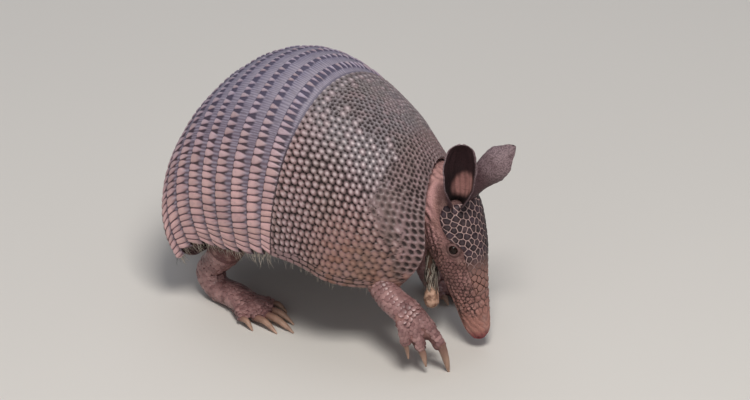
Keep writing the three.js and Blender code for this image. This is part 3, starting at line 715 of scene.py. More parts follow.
LEGS = {
    "front_right": leg(
        [
            (52, -22, 80, 11, 12),
            (57, -27, 66, 11, 11.5),
            (63, -30.5, 54, 10.5, 10.5),
            (70, -33, 47.5, 9.5, 8.8),
            (79, -34, 43.5, 9.5, 8.1),
            (88.5, -33.5, 40, 10, 7.4),
            (96, -33, 37, 9.5, 6.2),
        ],
        [
            ((92, -43, 38), (96, -44, 25), (98, -42, 13), 3.4, 2.0),
            ((94, -37, 38), (102, -36, 21), (105, -33, 6), 4.4, 2.8),
            ((96, -32, 39), (110, -25, 22), (113, -20, -1), 4.9, 3.2),
            ((93, -27, 39), (98, -20, 27), (101, -16, 15), 3.2, 1.9),
        ],
    ),
    "front_left": leg(
        [
            (40, 34, 88, 12, 13),
            (34, 41, 70, 12, 12.5),
            (29, 48, 50, 11, 11.5),
            (25, 53, 30, 9.5, 9.5),
            (27, 54, 14, 9.5, 8.5),
            (35, 54, 7.3, 11, 7.5),
            (42, 54, 5.6, 10.5, 6),
        ],
        [
            ((40, 45, 5), (48, 43, 4), (55, 42, 0.6), 3.4, 2.0),
            ((42, 51, 5.4), (54, 50, 4.6), (69, 50, 0), 4.4, 2.8),
            ((42, 57, 5.4), (53, 58, 4.6), (67, 59, 0), 4.4, 2.8),
            ((39, 63, 5), (46, 66, 4), (53, 68, 0.6), 3.4, 2.0),
        ],
    ),
    "hind_right": hind_leg(-1, 0),
    "hind_left": hind_leg(1, -2),
}


def toe_rings(knuckle, end, tip, radius):
    knuckle, end = np.array(knuckle, float), end + (np.array(tip, float) - end) * 0.22
    middle = (knuckle + end) / 2 + (0, 0, 0.35 * radius)
    stations = [
        (*(knuckle * 1.4 - end * 0.4), radius * 0.8, radius * 0.8),
        (*knuckle, radius * 1.02, radius),
        (*middle, 0.9 * radius, 0.9 * radius),
        (*end, 0.84 * radius, 0.84 * radius),
    ]
    return limb_rings(stations, (0, 0, 1), 20, 1.0, round_ends=radius * 0.8)


def trunk_rings():
    rings = []
    for t in np.arange(HIPS_END + 6, TRUNK_FRONT + 0.1, 3.0):
        over = shell_point(t, np.linspace(-0.9, 0.9, 61), BODY_DEPTH)
        across = over[-1] - over[0]
        down = -np.cross(forward_at(t), across / np.linalg.norm(across))
        angle = np.linspace(0, math.pi, 26)[1:-1, None]
        under = over[-1] - across * (1 - np.cos(angle)) / 2 + down * belly_sag(t) * np.sin(angle)
        rings.append(np.concatenate([over, under]))
    return np.array(rings)


head_places = np.concatenate([np.arange(-9, 98, 2.0), [99, 100.5, 102, 103.2, 104.2, 104.8]])
head_angles = np.linspace(0, 2 * math.pi, 64, endpoint=False)
nose_places, nose_insets = [90, 96, 100.5, 103.2, 104.2, 104.8], [0.2, -0.3, -1.0, -2.2, -3.4, -4.8]
head_inset = np.interp(head_places, nose_places, nose_insets)
head_rings = head_point(head_places[:, None], head_angles, head_inset[:, None])
shield_middle, throat = shell_point(TRUNK_FRONT + GAP, 0, 45), head_point(20, math.pi)
nape = head_point(8, 0) * 0.45 + head_point(8, math.pi) * 0.55
bend = (shield_middle + nape) / 2 * 0.9 + throat * 0.1
neck_stations = [(*shield_middle, 34, 36), (*bend, 27, 31), (*nape, 19, 21)]
rounds = [trunk_rings(), head_rings, limb_rings(neck_stations, unit(0.3, 0, 0.95), 64)]
for limb in LEGS.values():
    rounds.append(limb_rings(limb["line"], THICK_WAY, round_ends=5.0))
    rounds += [toe_rings(knuckle, end, tip, radius) for knuckle, end, tip, radius, _ in limb["toes"]]

rough = new_piece("rough_skin", *joined(loft(rings) for rings in rounds), sharp_from=0)
remesh = rough.modifiers.new("merge", "REMESH")
remesh.mode = "VOXEL"
remesh.voxel_size = SKIN_VOXEL * METRES
merged = bpy.data.meshes.new_from_object(rough.evaluated_get(bpy.context.evaluated_depsgraph_get()))
bpy.data.objects.remove(rough)


def points_and_normals(mesh):
    """The mesh's points in millimetres, and the way that each faces."""
    rows = []
    for field in ("co", "normal"):
        flat = np.empty(3 * len(mesh.vertices), np.float32)
        mesh.vertices.foreach_get(field, flat)
        rows.append(flat.reshape(-1, 3).astype(float))
    return rows[0] / METRES - CENTRING, rows[1]


def place_points(mesh, points):
    mesh.vertices.foreach_set("co", ((points + CENTRING) * METRES).astype(np.float32).ravel())
    mesh.update()


def smooth(mesh, times, back):
    """Draws each point towards its neighbours and partly back again, which evens a surface in place."""
    points, _ = points_and_normals(mesh)
    edges = np.empty(2 * len(mesh.edges), np.int64)
    mesh.edges.foreach_get("vertices", edges)
    first, second = edges.reshape(-1, 2).T
    degree = np.bincount(np.concatenate([first, second]), minlength=len(points))
    for _ in range(times):
        for share in (0.5, -back):
            total = np.zeros_like(points)
            for axis in range(3):
                total[:, axis] = np.bincount(first, points[second, axis], len(points))
                total[:, axis] += np.bincount(second, points[first, axis], len(points))
            points = points + share * (total / degree[:, None] - points)
    place_points(mesh, points)


smooth(merged, 7, 0.40)


def finer(mesh, chosen):
    """Splits the faces whose middles are chosen, so that they can carry smaller forms."""
    work = bmesh.new()
    work.from_mesh(mesh)
    work.faces.ensure_lookup_table()
    middles = np.array([face.calc_center_median() for face in work.faces]) / METRES - CENTRING
    edges = {edge for i in np.flatnonzero(chosen(middles)) for edge in work.faces[i].edges}
    bmesh.ops.subdivide_edges(work, edges=list(edges), cuts=1, use_grid_fill=True)
    bmesh.ops.triangulate(work, faces=[face for face in work.faces if len(face.verts) > 4])
    work.to_mesh(mesh)
    work.free()


def head_place(points):
    """Where points lie on the head: down it, the angle round it, and out from its middle, 1 at its skin."""
    offset = points - FOREHEAD_TOP
    s = offset @ TO_NOSE
    half = head_depth(s) / 2
    out = (offset @ FACE_OUT + forehead_sink(s) + half) / half
    pinch = 1 - CHIN_PINCH * np.clip(-out, 0, 1)
    sideways = offset @ HEAD_LEFT / (head_half_width(s) * pinch)
    return s, np.arctan2(sideways, out), np.hypot(sideways, out)


def on_head(middles):
    s, _, out = head_place(middles)
    return (s > -8) & (s < HEAD_LENGTH + 8) & (out < 1.5)


def near_eyes(middles):
    return np.minimum(*[np.linalg.norm(middles - lid, axis=1) for lid in eye_lids.values()]) < 9


eye_lids = {side: head_point(EYE_AT, sign * math.radians(EYE_ROUND)) for side, sign in SIDES.items()}
finer(merged, on_head)
smooth(merged, 2, 0.5)
finer(merged, near_eyes)
points, normals = points_and_normals(merged)
s, angle, out = head_place(points)
face = smooth_between(1.34, 1.16, out) * smooth_between(-9, -4, s)
radius = (head_half_width(s) + head_depth(s) / 2) / 2
round_mm = np.abs(angle) * radius
degrees = np.degrees(np.abs(angle))


def bell(x, width):
    return np.exp(-((x / width) ** 2))


def rolling(scale):
    """A soft wander from -1 to 1 over the skin."""
    return np.array([noise.noise(Vector(point * scale)) for point in points])


to_eye = points - np.where(points[:, [1]] < FOREHEAD_TOP[1], eye_lids["right"], eye_lids["left"])
down_face = to_eye @ TO_NOSE
to_side = np.radians(np.abs(degrees - EYE_ROUND)) * radius
lid = np.hypot(down_face / 1.15, to_side) + 1.3 * rolling(0.30) * smooth_between(3.0, 5.0, to_side)
socket = smooth_between(2.75, 1.9, lid)
lid_ridge = bell(lid - 3.25, 0.7)
lid_creases = 0.8 * bell(lid - 4.5, 0.5) + 0.2 * bell(lid - 7.0, 0.55)
outer_lid = bell(lid - 5.8, 0.7)
height = 0.85 * lid_ridge - 2.6 * socket - 0.4 * lid_creases + 0.1 * outer_lid

mouth_angle = through([56, 94], [80, 100], [97, 112], [HEAD_LENGTH, 124])
below_mouth = np.radians(degrees - mouth_angle(s)) * radius
mouth = bell(below_mouth, 0.55) * smooth_between(55, 61, s)
lip = (bell(below_mouth - 1.7, 0.8) + bell(below_mouth + 1.7, 0.8)) * smooth_between(57, 66, s)
height += 0.35 * lip - 1.0 * mouth

roll, fine_roll = rolling(0.11), rolling(0.45)
snout = smooth_between(62, 74, s) * smooth_between(112, 98, degrees)
ripple = np.sin(2 * math.pi * (0.6 * s + 0.8 * round_mm) / 3.6 + 3.0 * roll + 1.5 * fine_roll)
ripple_fade = 0.5 + 0.5 * np.sin(angle * 3.1 + s * 0.21) ** 2
height += 0.30 * ripple * ripple_fade * snout * smooth_between(HEAD_LENGTH, 98, s)
length, width = SNOUT_SCUTE
first, second, _, plate_tint = scute_field(s / length, angle * radius / width, length, width, 0.5)
plates = smooth_between(58, 66, s) * smooth_between(90, 80, s) * smooth_between(75, 62, degrees)
plate_gap = 1 - smooth_between(0.25, 1.1, second - first)
height += (0.45 * (1 - plate_gap) - 0.15) * plates
length, width = CHEEK_SCUTE
first, second, _, wart_tint = scute_field(s / length, angle * radius / width, length, width, 0.6)
cheek = smooth_between(34, 42, degrees) * smooth_between(128, 112, degrees) * smooth_between(20, 34, s)
cheek *= smooth_between(92, 80, s) * smooth_between(6.8, 8.6, lid)
wart_gap = 1 - smooth_between(0.1, 0.8, second - first)
height += 0.5 * (1 - wart_gap) * cheek
folds = smooth_between(74, 92, degrees) * smooth_between(150, 130, degrees) * smooth_between(52, 40, s)
fold_wave = np.sin(2 * math.pi * round_mm / 4.2 + 1.2 * np.sin(s * 0.16 + 0.8))
height += 0.42 * fold_wave * folds * smooth_between(6.8, 9, lid)
nostrils = 0.0
for sign in (-1, 1):
    opening = head_point(HEAD_LENGTH - 0.8, sign * math.radians(55), -1.5)
    nostrils = nostrils + bell(np.linalg.norm(points - opening, axis=1), 1.3)
height = height * face - 2.0 * nostrils
neck_zone = (1 - face) * smooth_between(62, 74, points[:, 0]) * smooth_between(58, 70, points[:, 2])
from_head = out * 18
neck_wave = np.sin(2 * math.pi * from_head / 6.5 + 1.3 * np.sin(points[:, 2] * 0.12))
height += 0.55 * neck_wave * neck_zone
from_ear = np.linalg.norm(points - EAR_FOLDS_AT, axis=1)
ear_folds = smooth_between(9, 13, from_ear) * smooth_between(34, 22, from_ear)
ear_folds *= smooth_between(70, 95, degrees)
ear_wave = np.sin(2 * math.pi * from_ear / 4.8 + 1.1 * np.sin(points[:, 2] * 0.21))
height += 0.5 * ear_wave * ear_folds
leg_zone = (1 - face) * smooth_between(72, 60, points[:, 2]) * (1 - neck_zone)
height += (0.7 - 0.35 * leg_zone) * roll * (1 - face)
height += (0.28 - 0.14 * leg_zone) * fine_roll * (1 - 0.7 * face)
worked = points + normals * height[:, None]
worked[:, 2] = np.maximum(worked[:, 2], 0.0)
place_points(merged, worked)
# Painted shade in the mouth, nostrils, scute seams, creases and fold troughs, and by the ears' feet.
crease_shade = np.clip(mouth + 0.9 * plate_gap * plates + wart_gap * cheek + 0.5 * lid_creases, 0, 1) * face
crease_shade = np.clip(crease_shade + 0.45 * folds * np.clip(-fold_wave, 0, 1) * face + 1.2 * nostrils, 0, 1)
crease_shade = np.clip(crease_shade + 0.3 * snout * np.clip(-ripple, 0, 1) * face, 0, 1)
crease_shade = np.clip(crease_shade + 0.5 * neck_zone * np.clip(-neck_wave, 0, 1), 0, 1)
crease_shade = crease_shade + 0.45 * ear_folds * np.clip(-ear_wave, 0, 1)
crease_shade = np.clip(crease_shade + 0.8 * bell(np.linalg.norm(points - EAR_SHADE_AT, axis=1), 9), 0, 1)
marks = {
    "crease_shade": crease_shade,
    "face": face,
    "snout": smooth_between(60, 84, s) * face,
    "nose": smooth_between(HEAD_LENGTH - 9, HEAD_LENGTH - 1, s) * face,
    "neck": np.clip(neck_zone + face * smooth_between(62, 78, degrees) * smooth_between(42, 26, s), 0, 1),
    "leg": leg_zone,
    "lid": (lid_ridge + 0.4 * outer_lid) * face,
    "socket": bell(lid, 4.0) * face,
    "tint": np.clip(wart_tint * cheek + plate_tint * plates, 0, 1),
}
store_marks(merged, marks)
merged.shade_smooth()
merged.materials.clear()
skin = in_scene("skin_surface", merged)

paint = Paint("bare_skin", IOR=1.42)
marked = dict(zip(marks, paint.marks(*marks)))
stain = paint.noise(70.0, 5.0)
neck_tone = paint.blend(stain.between(0.40, 0.75) * 0.5, (204, 154, 152), (140, 104, 86))
tone = paint.coats(
    paint.blend(marked["face"], (112, 80, 78), (132, 94, 92)),
    (marked["snout"], (176, 124, 112)),
    (marked["leg"], (104, 68, 68)),
    (marked["tint"] * 0.6, (180, 134, 126)),
    (stain.between(0.42, 0.72) * 0.5, (84, 58, 50)),
    (paint.noise(160.0, 3.0).between(0.5, 0.72) * 0.6, (180, 142, 134)),
    (marked["neck"], neck_tone),
    (marked["nose"], (142, 58, 64)),
    (marked["socket"] * 0.85, (66, 47, 46)),
    (marked["lid"] * 0.3, (132, 108, 104)),
    # Painted shade in creases, seams and openings.
    (marked["crease_shade"] * 0.92, (32, 15, 15)),
)
leather = paint.cells(620.0, "DISTANCE_TO_EDGE").between(0.0, 0.3) + paint.noise(1500.0, 2.0) * 0.4
merged.materials.append(
    paint.finish(Base_Color=tone, Roughness=0.52 + stain * 0.2, Normal=paint.bump(leather, 0.00025, 0.8))
)
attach(skin, "root")
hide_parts("head", "neck", "trunk", *[f"leg_{name}" for name in LEGS])


# ---------------------------------------------------------------- brow shield
# A horny plate over the forehead, from between the ears to half way down the snout, in tall dark scutes
# with pale seams. It grows on the skin, and its edges sink into it.

BROW_FROM, BROW_TO = 6.0, 74.0
BROW_SCUTE_LENGTH, BROW_SCUTE_WIDTH = 5.3, 3.4
brow_reach = through(
    [BROW_FROM, 58], [16, 70], [28, 66], [33, 52], [38, 42], [46, 42], [60, 36], [BROW_TO, 26]
)
around_brow = through([-32, -8.6], [-22, -6.4], [-12, -3.6], [0, 0], [12, 3.6], [22, 6.4], [32, 8.6])

v, w = sheet(181, 141)
s = BROW_FROM + v * (BROW_TO - BROW_FROM)
angle = w * np.radians(brow_reach(s))
column = around_brow(angle * (head_half_width(s) + head_depth(s) / 2) / 2)
first, second, _, tint = scute_field(
    column, s / BROW_SCUTE_LENGTH, BROW_SCUTE_WIDTH, BROW_SCUTE_LENGTH, 0.42
)
seam = 1 - smooth_between(0.2, 0.95, second - first)
inland = smooth_between(0.0, 0.10, 1 - np.abs(w)) * smooth_between(0, 0.03, v) * smooth_between(1, 0.9, v)
swell = np.clip(1 - (first / 2.8) ** 2, 0, 1)
extra = -0.5 + inland * (1.55 + 0.40 * swell - 0.42 * seam)
brow_marks = {"seam": seam, "swell": swell, "tint": tint, "down": v, "inland": inland}
brow = plate_piece("brow_shield_scutes", head_point(s, angle, extra), head_point(s, angle, -1.5), brow_marks)

paint = Paint("brow_horn", IOR=1.38)
seam_mark, tint_mark, down_mark = paint.marks("seam", "tint", "down")
swell_mark, inland_mark = paint.marks("swell", "inland")
low = down_mark.between(0.52, 0.8)
slate = paint.coats(
    paint.blend(tint_mark, (24, 13, 18), (54, 38, 47)),
    (low, (146, 106, 96)),
    (paint.noise(240.0, 3.0).between(0.45, 0.75) * 0.25, (112, 88, 88)),
)
horn = paint.coats(
    slate,
    (seam_mark.between(0.35, 0.85), paint.blend(low, (176, 148, 144), (52, 30, 27))),
    # A painted highlight on the scutes' swells.
    (swell_mark.between(0.6, 1.0) * 0.12, (142, 124, 128)),
)
horn = paint.blend(inland_mark.between(0.05, 0.6), (116, 86, 80), horn)
grain = paint.noise(900.0, 2.0)
brow.data.materials.append(
    paint.finish(
        Base_Color=horn,
        Roughness=0.46 + seam_mark * 0.2 + grain * 0.1,
        Normal=paint.bump(grain, 0.00012, 0.6),
    )
)
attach(brow, "root")
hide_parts("brow_shield")


# ---------------------------------------------------------------- eyes
# Small wet eyes, almost black, one set in each side of the head. Each is a whole ball, a little over half
# sunk behind its lids.

EYE_SUNK = 0.56  # of its radius, from the lids' own surface to the ball's middle

paint = Paint("wet_eye", Roughness=0.12, IOR=1.3)
WET_EYE = paint.finish(Base_Color=paint.blend(paint.noise(900.0, 3.0), (16, 11, 10), (40, 26, 20)))
eye_middle = (head_point(EYE_AT, 0) + head_point(EYE_AT, math.pi)) / 2
down = np.linspace(math.pi, 0, 26)[1:-1, None]
circle = np.linspace(0, 2 * math.pi, 40, endpoint=False)
ball = [np.sin(down) * np.cos(circle), np.sin(down) * np.sin(circle), np.cos(down) + 0 * circle]
for side_name, lid_place in eye_lids.items():
    centre = lid_place + unit(*(eye_middle - lid_place)) * EYE_RADIUS * EYE_SUNK
    eye = new_piece(f"eyeball_{side_name}", *loft(centre + EYE_RADIUS * np.stack(ball, -1)), sharp_from=0)
    eye.data.materials.append(WET_EYE)
    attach(eye, "root")
    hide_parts(f"eye_{side_name}")


# ---------------------------------------------------------------- ears
# Tall thin ears, each a leaf rolled into a scoop, close together on top of the head. Their backs are
# pebbled grey skin, and the insides are bare, dark above and flesh-coloured in the lobe at the foot.

EAR_WALL = 1.3
EAR_ROOT = -0.22  # how far below its foot an ear starts inside the head, as a share of its length
ear_half_width = through([-0.25, 5], [0, 6.2], [0.3, 9.6], [0.62, 11], [0.84, 9], [0.94, 6], [1, 1.3])
ear_roll = through([-0.25, 165], [0, 150], [0.35, 100], [1, 62])
# Each ear's foot, tip and the way it opens, which side is its front, how far its foot droops, and its taper.
EARS = {
    "right": ((96, 5, 109), (102, 3, 152), (0.72, -0.69, 0), 1, 0, 0),
    "left": ((92, 26, 114), (107, 48.5, 135), (0.1, 0.99, 0), -1, 50, 0.5),
}

paint = Paint("ear_skin", IOR=1.42)
inside_mark, lobe_mark, up_mark = paint.marks("inside", "lobe", "up")
mottle = paint.noise(130.0, 4.0)
pebbles = paint.cells(1080.0)
# The backs are darker at the foot as painted shade and lighter above as a painted highlight.
back_tone = paint.coats(
    paint.blend(up_mark.between(0.0, 0.55), (76, 50, 54), (142, 120, 124)),
    (mottle.between(0.4, 0.7) * 0.5, (86, 62, 66)),
    (pebbles.between(0.35, 0.75) * 0.6, (52, 34, 38)),
)
inner_tone = paint.coats(
    paint.blend(up_mark.between(0.15, 0.85), (26, 9, 12), (40, 14, 19)),
    (lobe_mark, (158, 112, 106)),
    (mottle.between(0.4, 0.7) * 0.35, (46, 20, 24)),
)
EAR_SKIN = paint.finish(
    Base_Color=paint.blend(inside_mark, back_tone, inner_tone),
    Roughness=0.5 + mottle * 0.2 + inside_mark * 0.25,
    Normal=paint.bump(1 - pebbles.between(0.1, 0.7), 0.0003, 0.7),
)
v, w = sheet(97, 81, EAR_ROOT)
for side_name, (root, tip, opens, front_side, droop, taper) in EARS.items():
    root, rise = np.array(root, float), np.array(tip, float) - root
    upwards = unit(*rise)
    across = unit(*np.cross(upwards, opens))
    outwards = unit(*np.cross(across, upwards))
    rim_wave = (0.2 * np.sin(v * 23 + front_side) + 0.12 * np.sin(v * 51)) * smooth_between(0.1, 0.3, v)
    turn = w * np.radians(ear_roll(v))
    bow = ear_half_width(v) / np.maximum(0.6, np.sin(np.minimum(np.radians(ear_roll(v)), math.pi / 2)))
    bow = (bow + rim_wave * np.abs(w) ** 3) * (1 - taper * smooth_between(0.5, 1, v))
    flare = 1.6 * np.abs(w) ** 5 * smooth_between(0.2, 0.6, v) + 90 * np.minimum(v - 0.12, 0) ** 2
    ribs = 0.25 * np.sin(w * 17) * smooth_between(0.1, 0.4, v) * smooth_between(1, 0.7, v)
    line = root + rise * v[..., None]
    line[..., 2] -= droop * np.minimum(v - 0.25, 0) ** 2
    wall = EAR_WALL * (1 - 0.55 * np.abs(w) ** 4) * (1 - 0.5 * smooth_between(0.8, 1, v)) + ribs
    walls = []
    for inset in (0 * v, wall):
        reach = np.maximum(0.3, bow - inset)
        out = bow * 0.4 - reach * np.cos(turn) - flare
        walls.append(line + across * (reach * np.sin(turn))[..., None] + outwards * out[..., None])
    ear = plate_piece(f"ear_{side_name}_skin", *walls, {"up": v}, stride=1)
    front = w * front_side
    lobe = smooth_between(1.15, 0.5, np.hypot((v - 0.22 - 0.12 * front) / 0.22, (front - 0.3) / 0.62))
    lobe = np.clip(lobe + 0.25 * lobe * np.sin(w * 26 + v * 9), 0, 1)
    rim = 0.75 * np.maximum(smooth_between(0.84, 0.97, np.abs(w)), smooth_between(0.95, 0.99, v))
    on_inside = np.concatenate([np.zeros(v.size), 1 - rim.ravel()])
    store_marks(ear.data, {"inside": on_inside, "lobe": np.tile(lobe.ravel(), 2) * on_inside})
    ear.data.materials.append(EAR_SKIN)
    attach(ear, "root")
    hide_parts(f"ear_{side_name}")


# ---------------------------------------------------------------- claws
# Long blunt digging claws of grey-tan horn, the middle ones the largest. Each is rooted in its toe's end and
# curves down to a worn tip.

CLAW_SIDES = 16
CLAW_ARCH = 2.4  # how far a claw's middle stands above the straight line from its root to its tip


def face_outwards(mesh):
    work = bmesh.new()
    work.from_mesh(mesh)
    bmesh.ops.recalc_face_normals(work, faces=work.faces)
    work.to_mesh(mesh)
    work.free()


paint = Paint("claw_horn", IOR=1.5)
(along_mark,) = paint.marks("along")
streaks = paint.noise(260.0, 4.0, stretch=(1.0, 1.0, 0.3))
claw_tone = paint.blend(along_mark.between(0.0, 0.7), (128, 92, 82), (176, 142, 122))
CLAW_HORN = paint.finish(
    Base_Color=paint.blend(streaks.between(0.4, 0.7) * 0.5, claw_tone, (112, 84, 72)),
    Roughness=0.34 + streaks * 0.25,
    Normal=paint.bump(streaks, 0.0003, 0.6),
)
for foot, limb in LEGS.items():
    solids, along = [], []
    for _, end, tip, _, width in limb["toes"]:
        root, tip = np.array(end, float), np.array(tip, float)
        middle = (root + tip) / 2 + (0, 0, CLAW_ARCH)
        bent = root + (tip - root) * 0.78 + (0, 0, 0.6 * CLAW_ARCH)
        stations = [
            (*root, width * 1.1, width * 0.95),
            (*middle, width * 0.92, width * 0.8),
            (*bent, width * 0.62, width * 0.55),
            (*tip, 0.5, 0.5),
        ]
        rings = limb_rings(stations, (0, 0, 1), CLAW_SIDES, 0.8)
        rings[..., 2] = np.maximum(rings[..., 2], 0.0)
        solids.append(loft(rings))
        along += np.repeat(np.linspace(0, 1, len(rings)), CLAW_SIDES).tolist() + [0, 1]
    claws = new_piece(f"claws_{foot}", *joined(solids), {"along": along})
    face_outwards(claws.data)
    claws.data.materials.append(CLAW_HORN)
    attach(claws, "root")
    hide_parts(*[f"claw_{foot}_{number + 1}" for number in range(len(limb["toes"]))])


# ---------------------------------------------------------------- tail
# The tail is sheathed in twelve rings of scutes for most of its length and ends in a slender point. It
# drops to the ground behind the shell and curls forward along the left side.

TAIL_RINGS = 12
TAIL_RINGED = 0.7  # the share of the tail that wears rings
TAIL_FLAT = 0.3  # how much its underside is flattened where it rests
TAIL_SCUTE_LENGTH, TAIL_SCUTE_WIDTH = 3.1, 3.4
TAIL_SIDES = 72
tail_radius = through([0, 16], [0.12, 14.5], [0.35, 10], [0.7, 5.4], [1, 1.6])
tail_root = back_point(HIPS_END + 10) + (14, 0, 0)
tail_x = tail_root[0]
tail_stations = [
    tail_root,
    (tail_x - 24, 1, 32),
    (tail_x - 44, 15, 15),
    (tail_x - 56, 52, 8),
    (tail_x - 38, 92, 7),
    (tail_x, 116, 5),
    (tail_x + 42, 114, 3.5),
    (tail_x + 70, 94, 2),
]
line = flowing(tail_stations, 0.7)
share = np.linspace(0, 1, len(line))
radius = tail_radius(share)
resting = smooth_between(0.22, 0.30, share)
line[:, 2] = line[:, 2] * (1 - resting) + (radius - TAIL_FLAT) * resting
angle = np.linspace(0, 2 * math.pi, TAIL_SIDES, endpoint=False)
ring_share = np.where(share < TAIL_RINGED, np.modf(share / TAIL_RINGED * TAIL_RINGS)[0], 0.5)[:, None]
step = np.where(share < TAIL_RINGED, 1.0, 0.25)[:, None]
scutes_round = np.maximum(8, np.round(2 * math.pi * radius / TAIL_SCUTE_WIDTH))[:, None]
tail_run = share * np.linalg.norm(np.diff(line, axis=0), axis=1).sum()
column, row = tail_run[:, None] / TAIL_SCUTE_LENGTH, angle / (2 * math.pi) * scutes_round
first, _, third, tint = scute_field(column, row, TAIL_SCUTE_LENGTH, TAIL_SCUTE_WIDTH, 0.1)
dome = np.clip(1 - (first / 2.1) ** 2, 0, 1) * smooth_between(1.0, 0.8, share)[:, None]
pit = 1 - smooth_between(0.1, 0.9, third - first)
raised = 0.5 * step * (smooth_between(0.15, 0.95, ring_share) - smooth_between(0.96, 1.0, ring_share)) - 0.3
swollen = radius[:, None] + raised + 0.32 * dome - 0.25 * pit
_, across, deep = directions(line, (0, 0, 1))
rings = line[:, None] + across[:, None] * (swollen * np.cos(angle))[..., None]
rings = rings + deep[:, None] * (swollen * np.sin(angle))[..., None]
rings[..., 2] = np.maximum(rings[..., 2], 0.0)
groove = 1 - smooth_between(0.0, 0.4, dome)
ring_gap = smooth_between(0.09, 0.02, ring_share) * step
# Painted shade in the grooves, pits and gaps between the rings.
dark = np.clip(0.6 * groove * (0.4 + 0.6 * step) + 0.5 * pit + 0.55 * ring_gap, 0, 1)
tail_marks = {"dome": dome, "dark": dark, "tint": tint}
tail_marks = {name: np.concatenate([values.ravel(), [0, 0]]) for name, values in tail_marks.items()}
tail_marks["side"] = np.full(dome.size + 2, 0.6)
tail = new_piece("tail_scutes", *loft(rings), tail_marks)
face_outwards(tail.data)
tail.data.materials.append(SHIELD_HORN)
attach(tail, "root")
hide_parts("tail_tip", *[f"tail_ring_{number}" for number in range(1, TAIL_RINGS + 1)])


# ---------------------------------------------------------------- leg scutes
# Small glossy scales of horn that overlap down the shins and over the feet and toes. Each is rooted in the
# skin, and all are one shape, copied over it.

SHIN_SCALE, TOE_SCALE = 3.3, 2.7
SCALE_REACH = 6.0  # how far from a limb's own round the skin may lie and still carry a scale
SCALE_LOWEST = 1.2  # above the ground
PATCH_SIZE = 0.003  # of a copy's own patch on the map OFBake


def scatter_tree():
    """Copies a shape onto marked points, makes them real, and gives them the coat's map and material."""
    tree = bpy.data.node_groups.new("scatter", "GeometryNodeTree")
    kinds = {"Points": "Geometry", "Shape": "Object", "Surface": "Material", "Seed": "Int"}
    for socket, kind in kinds.items():
        tree.interface.new_socket(socket, in_out="INPUT", socket_type=f"NodeSocket{kind}")
    tree.interface.new_socket("Copies", in_out="OUTPUT", socket_type="NodeSocketGeometry")

    def node(kind, output, settings=None, links=None):
        made = tree.nodes.new(kind)
        for setting, value in (settings or {}).items():
            setattr(made, setting, value)
        for socket, value in (links or {}).items():
            if isinstance(value, bpy.types.NodeSocket):
                tree.links.new(value, made.inputs[socket])
            else:
                made.inputs[socket].default_value = value
        return made.outputs[output]

    def named(mark):
        settings = {"data_type": "FLOAT_VECTOR"}
        return node("GeometryNodeInputNamedAttribute", "Attribute", settings, {"Name": mark})

    given = tree.nodes.new("NodeGroupInput").outputs
    shape = node("GeometryNodeObjectInfo", "Geometry", None, {"Object": given["Shape"]})
    turn = node("FunctionNodeEulerToRotation", "Rotation", None, {"Euler": named("turn")})
    links = {"Points": given["Points"], "Instance": shape, "Rotation": turn, "Scale": named("size")}
    copies = node("GeometryNodeInstanceOnPoints", "Instances", None, links)
    shade = node("FunctionNodeRandomValue", 1, {"data_type": "FLOAT"}, {"Seed": given["Seed"]})
    links = {"Geometry": copies, "Name": "shade", "Value": shade}
    settings = {"data_type": "FLOAT", "domain": "INSTANCE"}
    copies = node("GeometryNodeStoreNamedAttribute", "Geometry", settings, links)
    real = node("GeometryNodeRealizeInstances", "Geometry", None, {"Geometry": copies})
    links = {0: named("patch"), "Scale": PATCH_SIZE}
    patch = node("ShaderNodeVectorMath", "Vector", {"operation": "SCALE"}, links)
    links = {0: named("root_uv"), 1: patch}
    place = node("ShaderNodeVectorMath", "Vector", {"operation": "ADD"}, links)
    links = {"Geometry": real, "Name": "OFBake", "Value": place}
    settings = {"data_type": "FLOAT2", "domain": "CORNER"}
    mapped = node("GeometryNodeStoreNamedAttribute", "Geometry", settings, links)
    links = {"Geometry": mapped, "Material": given["Surface"]}
    painted = node("GeometryNodeSetMaterial", "Geometry", None, links)
    tree.links.new(painted, tree.nodes.new("NodeGroupOutput").inputs["Copies"])
    return tree


SCATTER = scatter_tree()


def scattered(name, shape, places, forwards, ups, sizes, root_uv, material, seed, pale=None):
    """A mesh of copies of the shape, its own +X turned forwards and its +Z as near up as that allows."""
    places, forwards, ups = np.array(places), np.array(forwards), np.array(ups)
    forwards = forwards / np.linalg.norm(forwards, axis=1)[:, None]
    lefts = np.cross(ups, forwards)
    lefts /= np.linalg.norm(lefts, axis=1)[:, None]
    roll = np.arctan2(lefts[:, 2], np.cross(forwards, lefts)[:, 2])
    turns = np.stack([roll, -np.arcsin(forwards[:, 2]), np.arctan2(forwards[:, 1], forwards[:, 0])], -1)
    base = bpy.data.meshes.new(name)
    base.from_pydata(((places + CENTRING) * METRES).tolist(), [], [])
    store_marks(base, {"turn": turns, "size": sizes, "root_uv": np.pad(root_uv, ((0, 0), (0, 1)))})
    if pale is not None:
        store_marks(base, {"pale": pale})
    piece = in_scene(name, base)
    modifier = piece.modifiers.new("copies", "NODES")
    modifier.node_group = SCATTER
    inputs = {"Shape": shape, "Surface": material, "Seed": seed}
    for socket in SCATTER.interface.items_tree:
        if socket.in_out == "INPUT" and socket.name in inputs:
            modifier[socket.identifier] = inputs[socket.name]
    real = bpy.data.meshes.new_from_object(piece.evaluated_get(bpy.context.evaluated_depsgraph_get()))
    piece.modifiers.clear()
    piece.data = real
    bpy.data.meshes.remove(base)
    bpy.data.objects.remove(shape)
    return piece


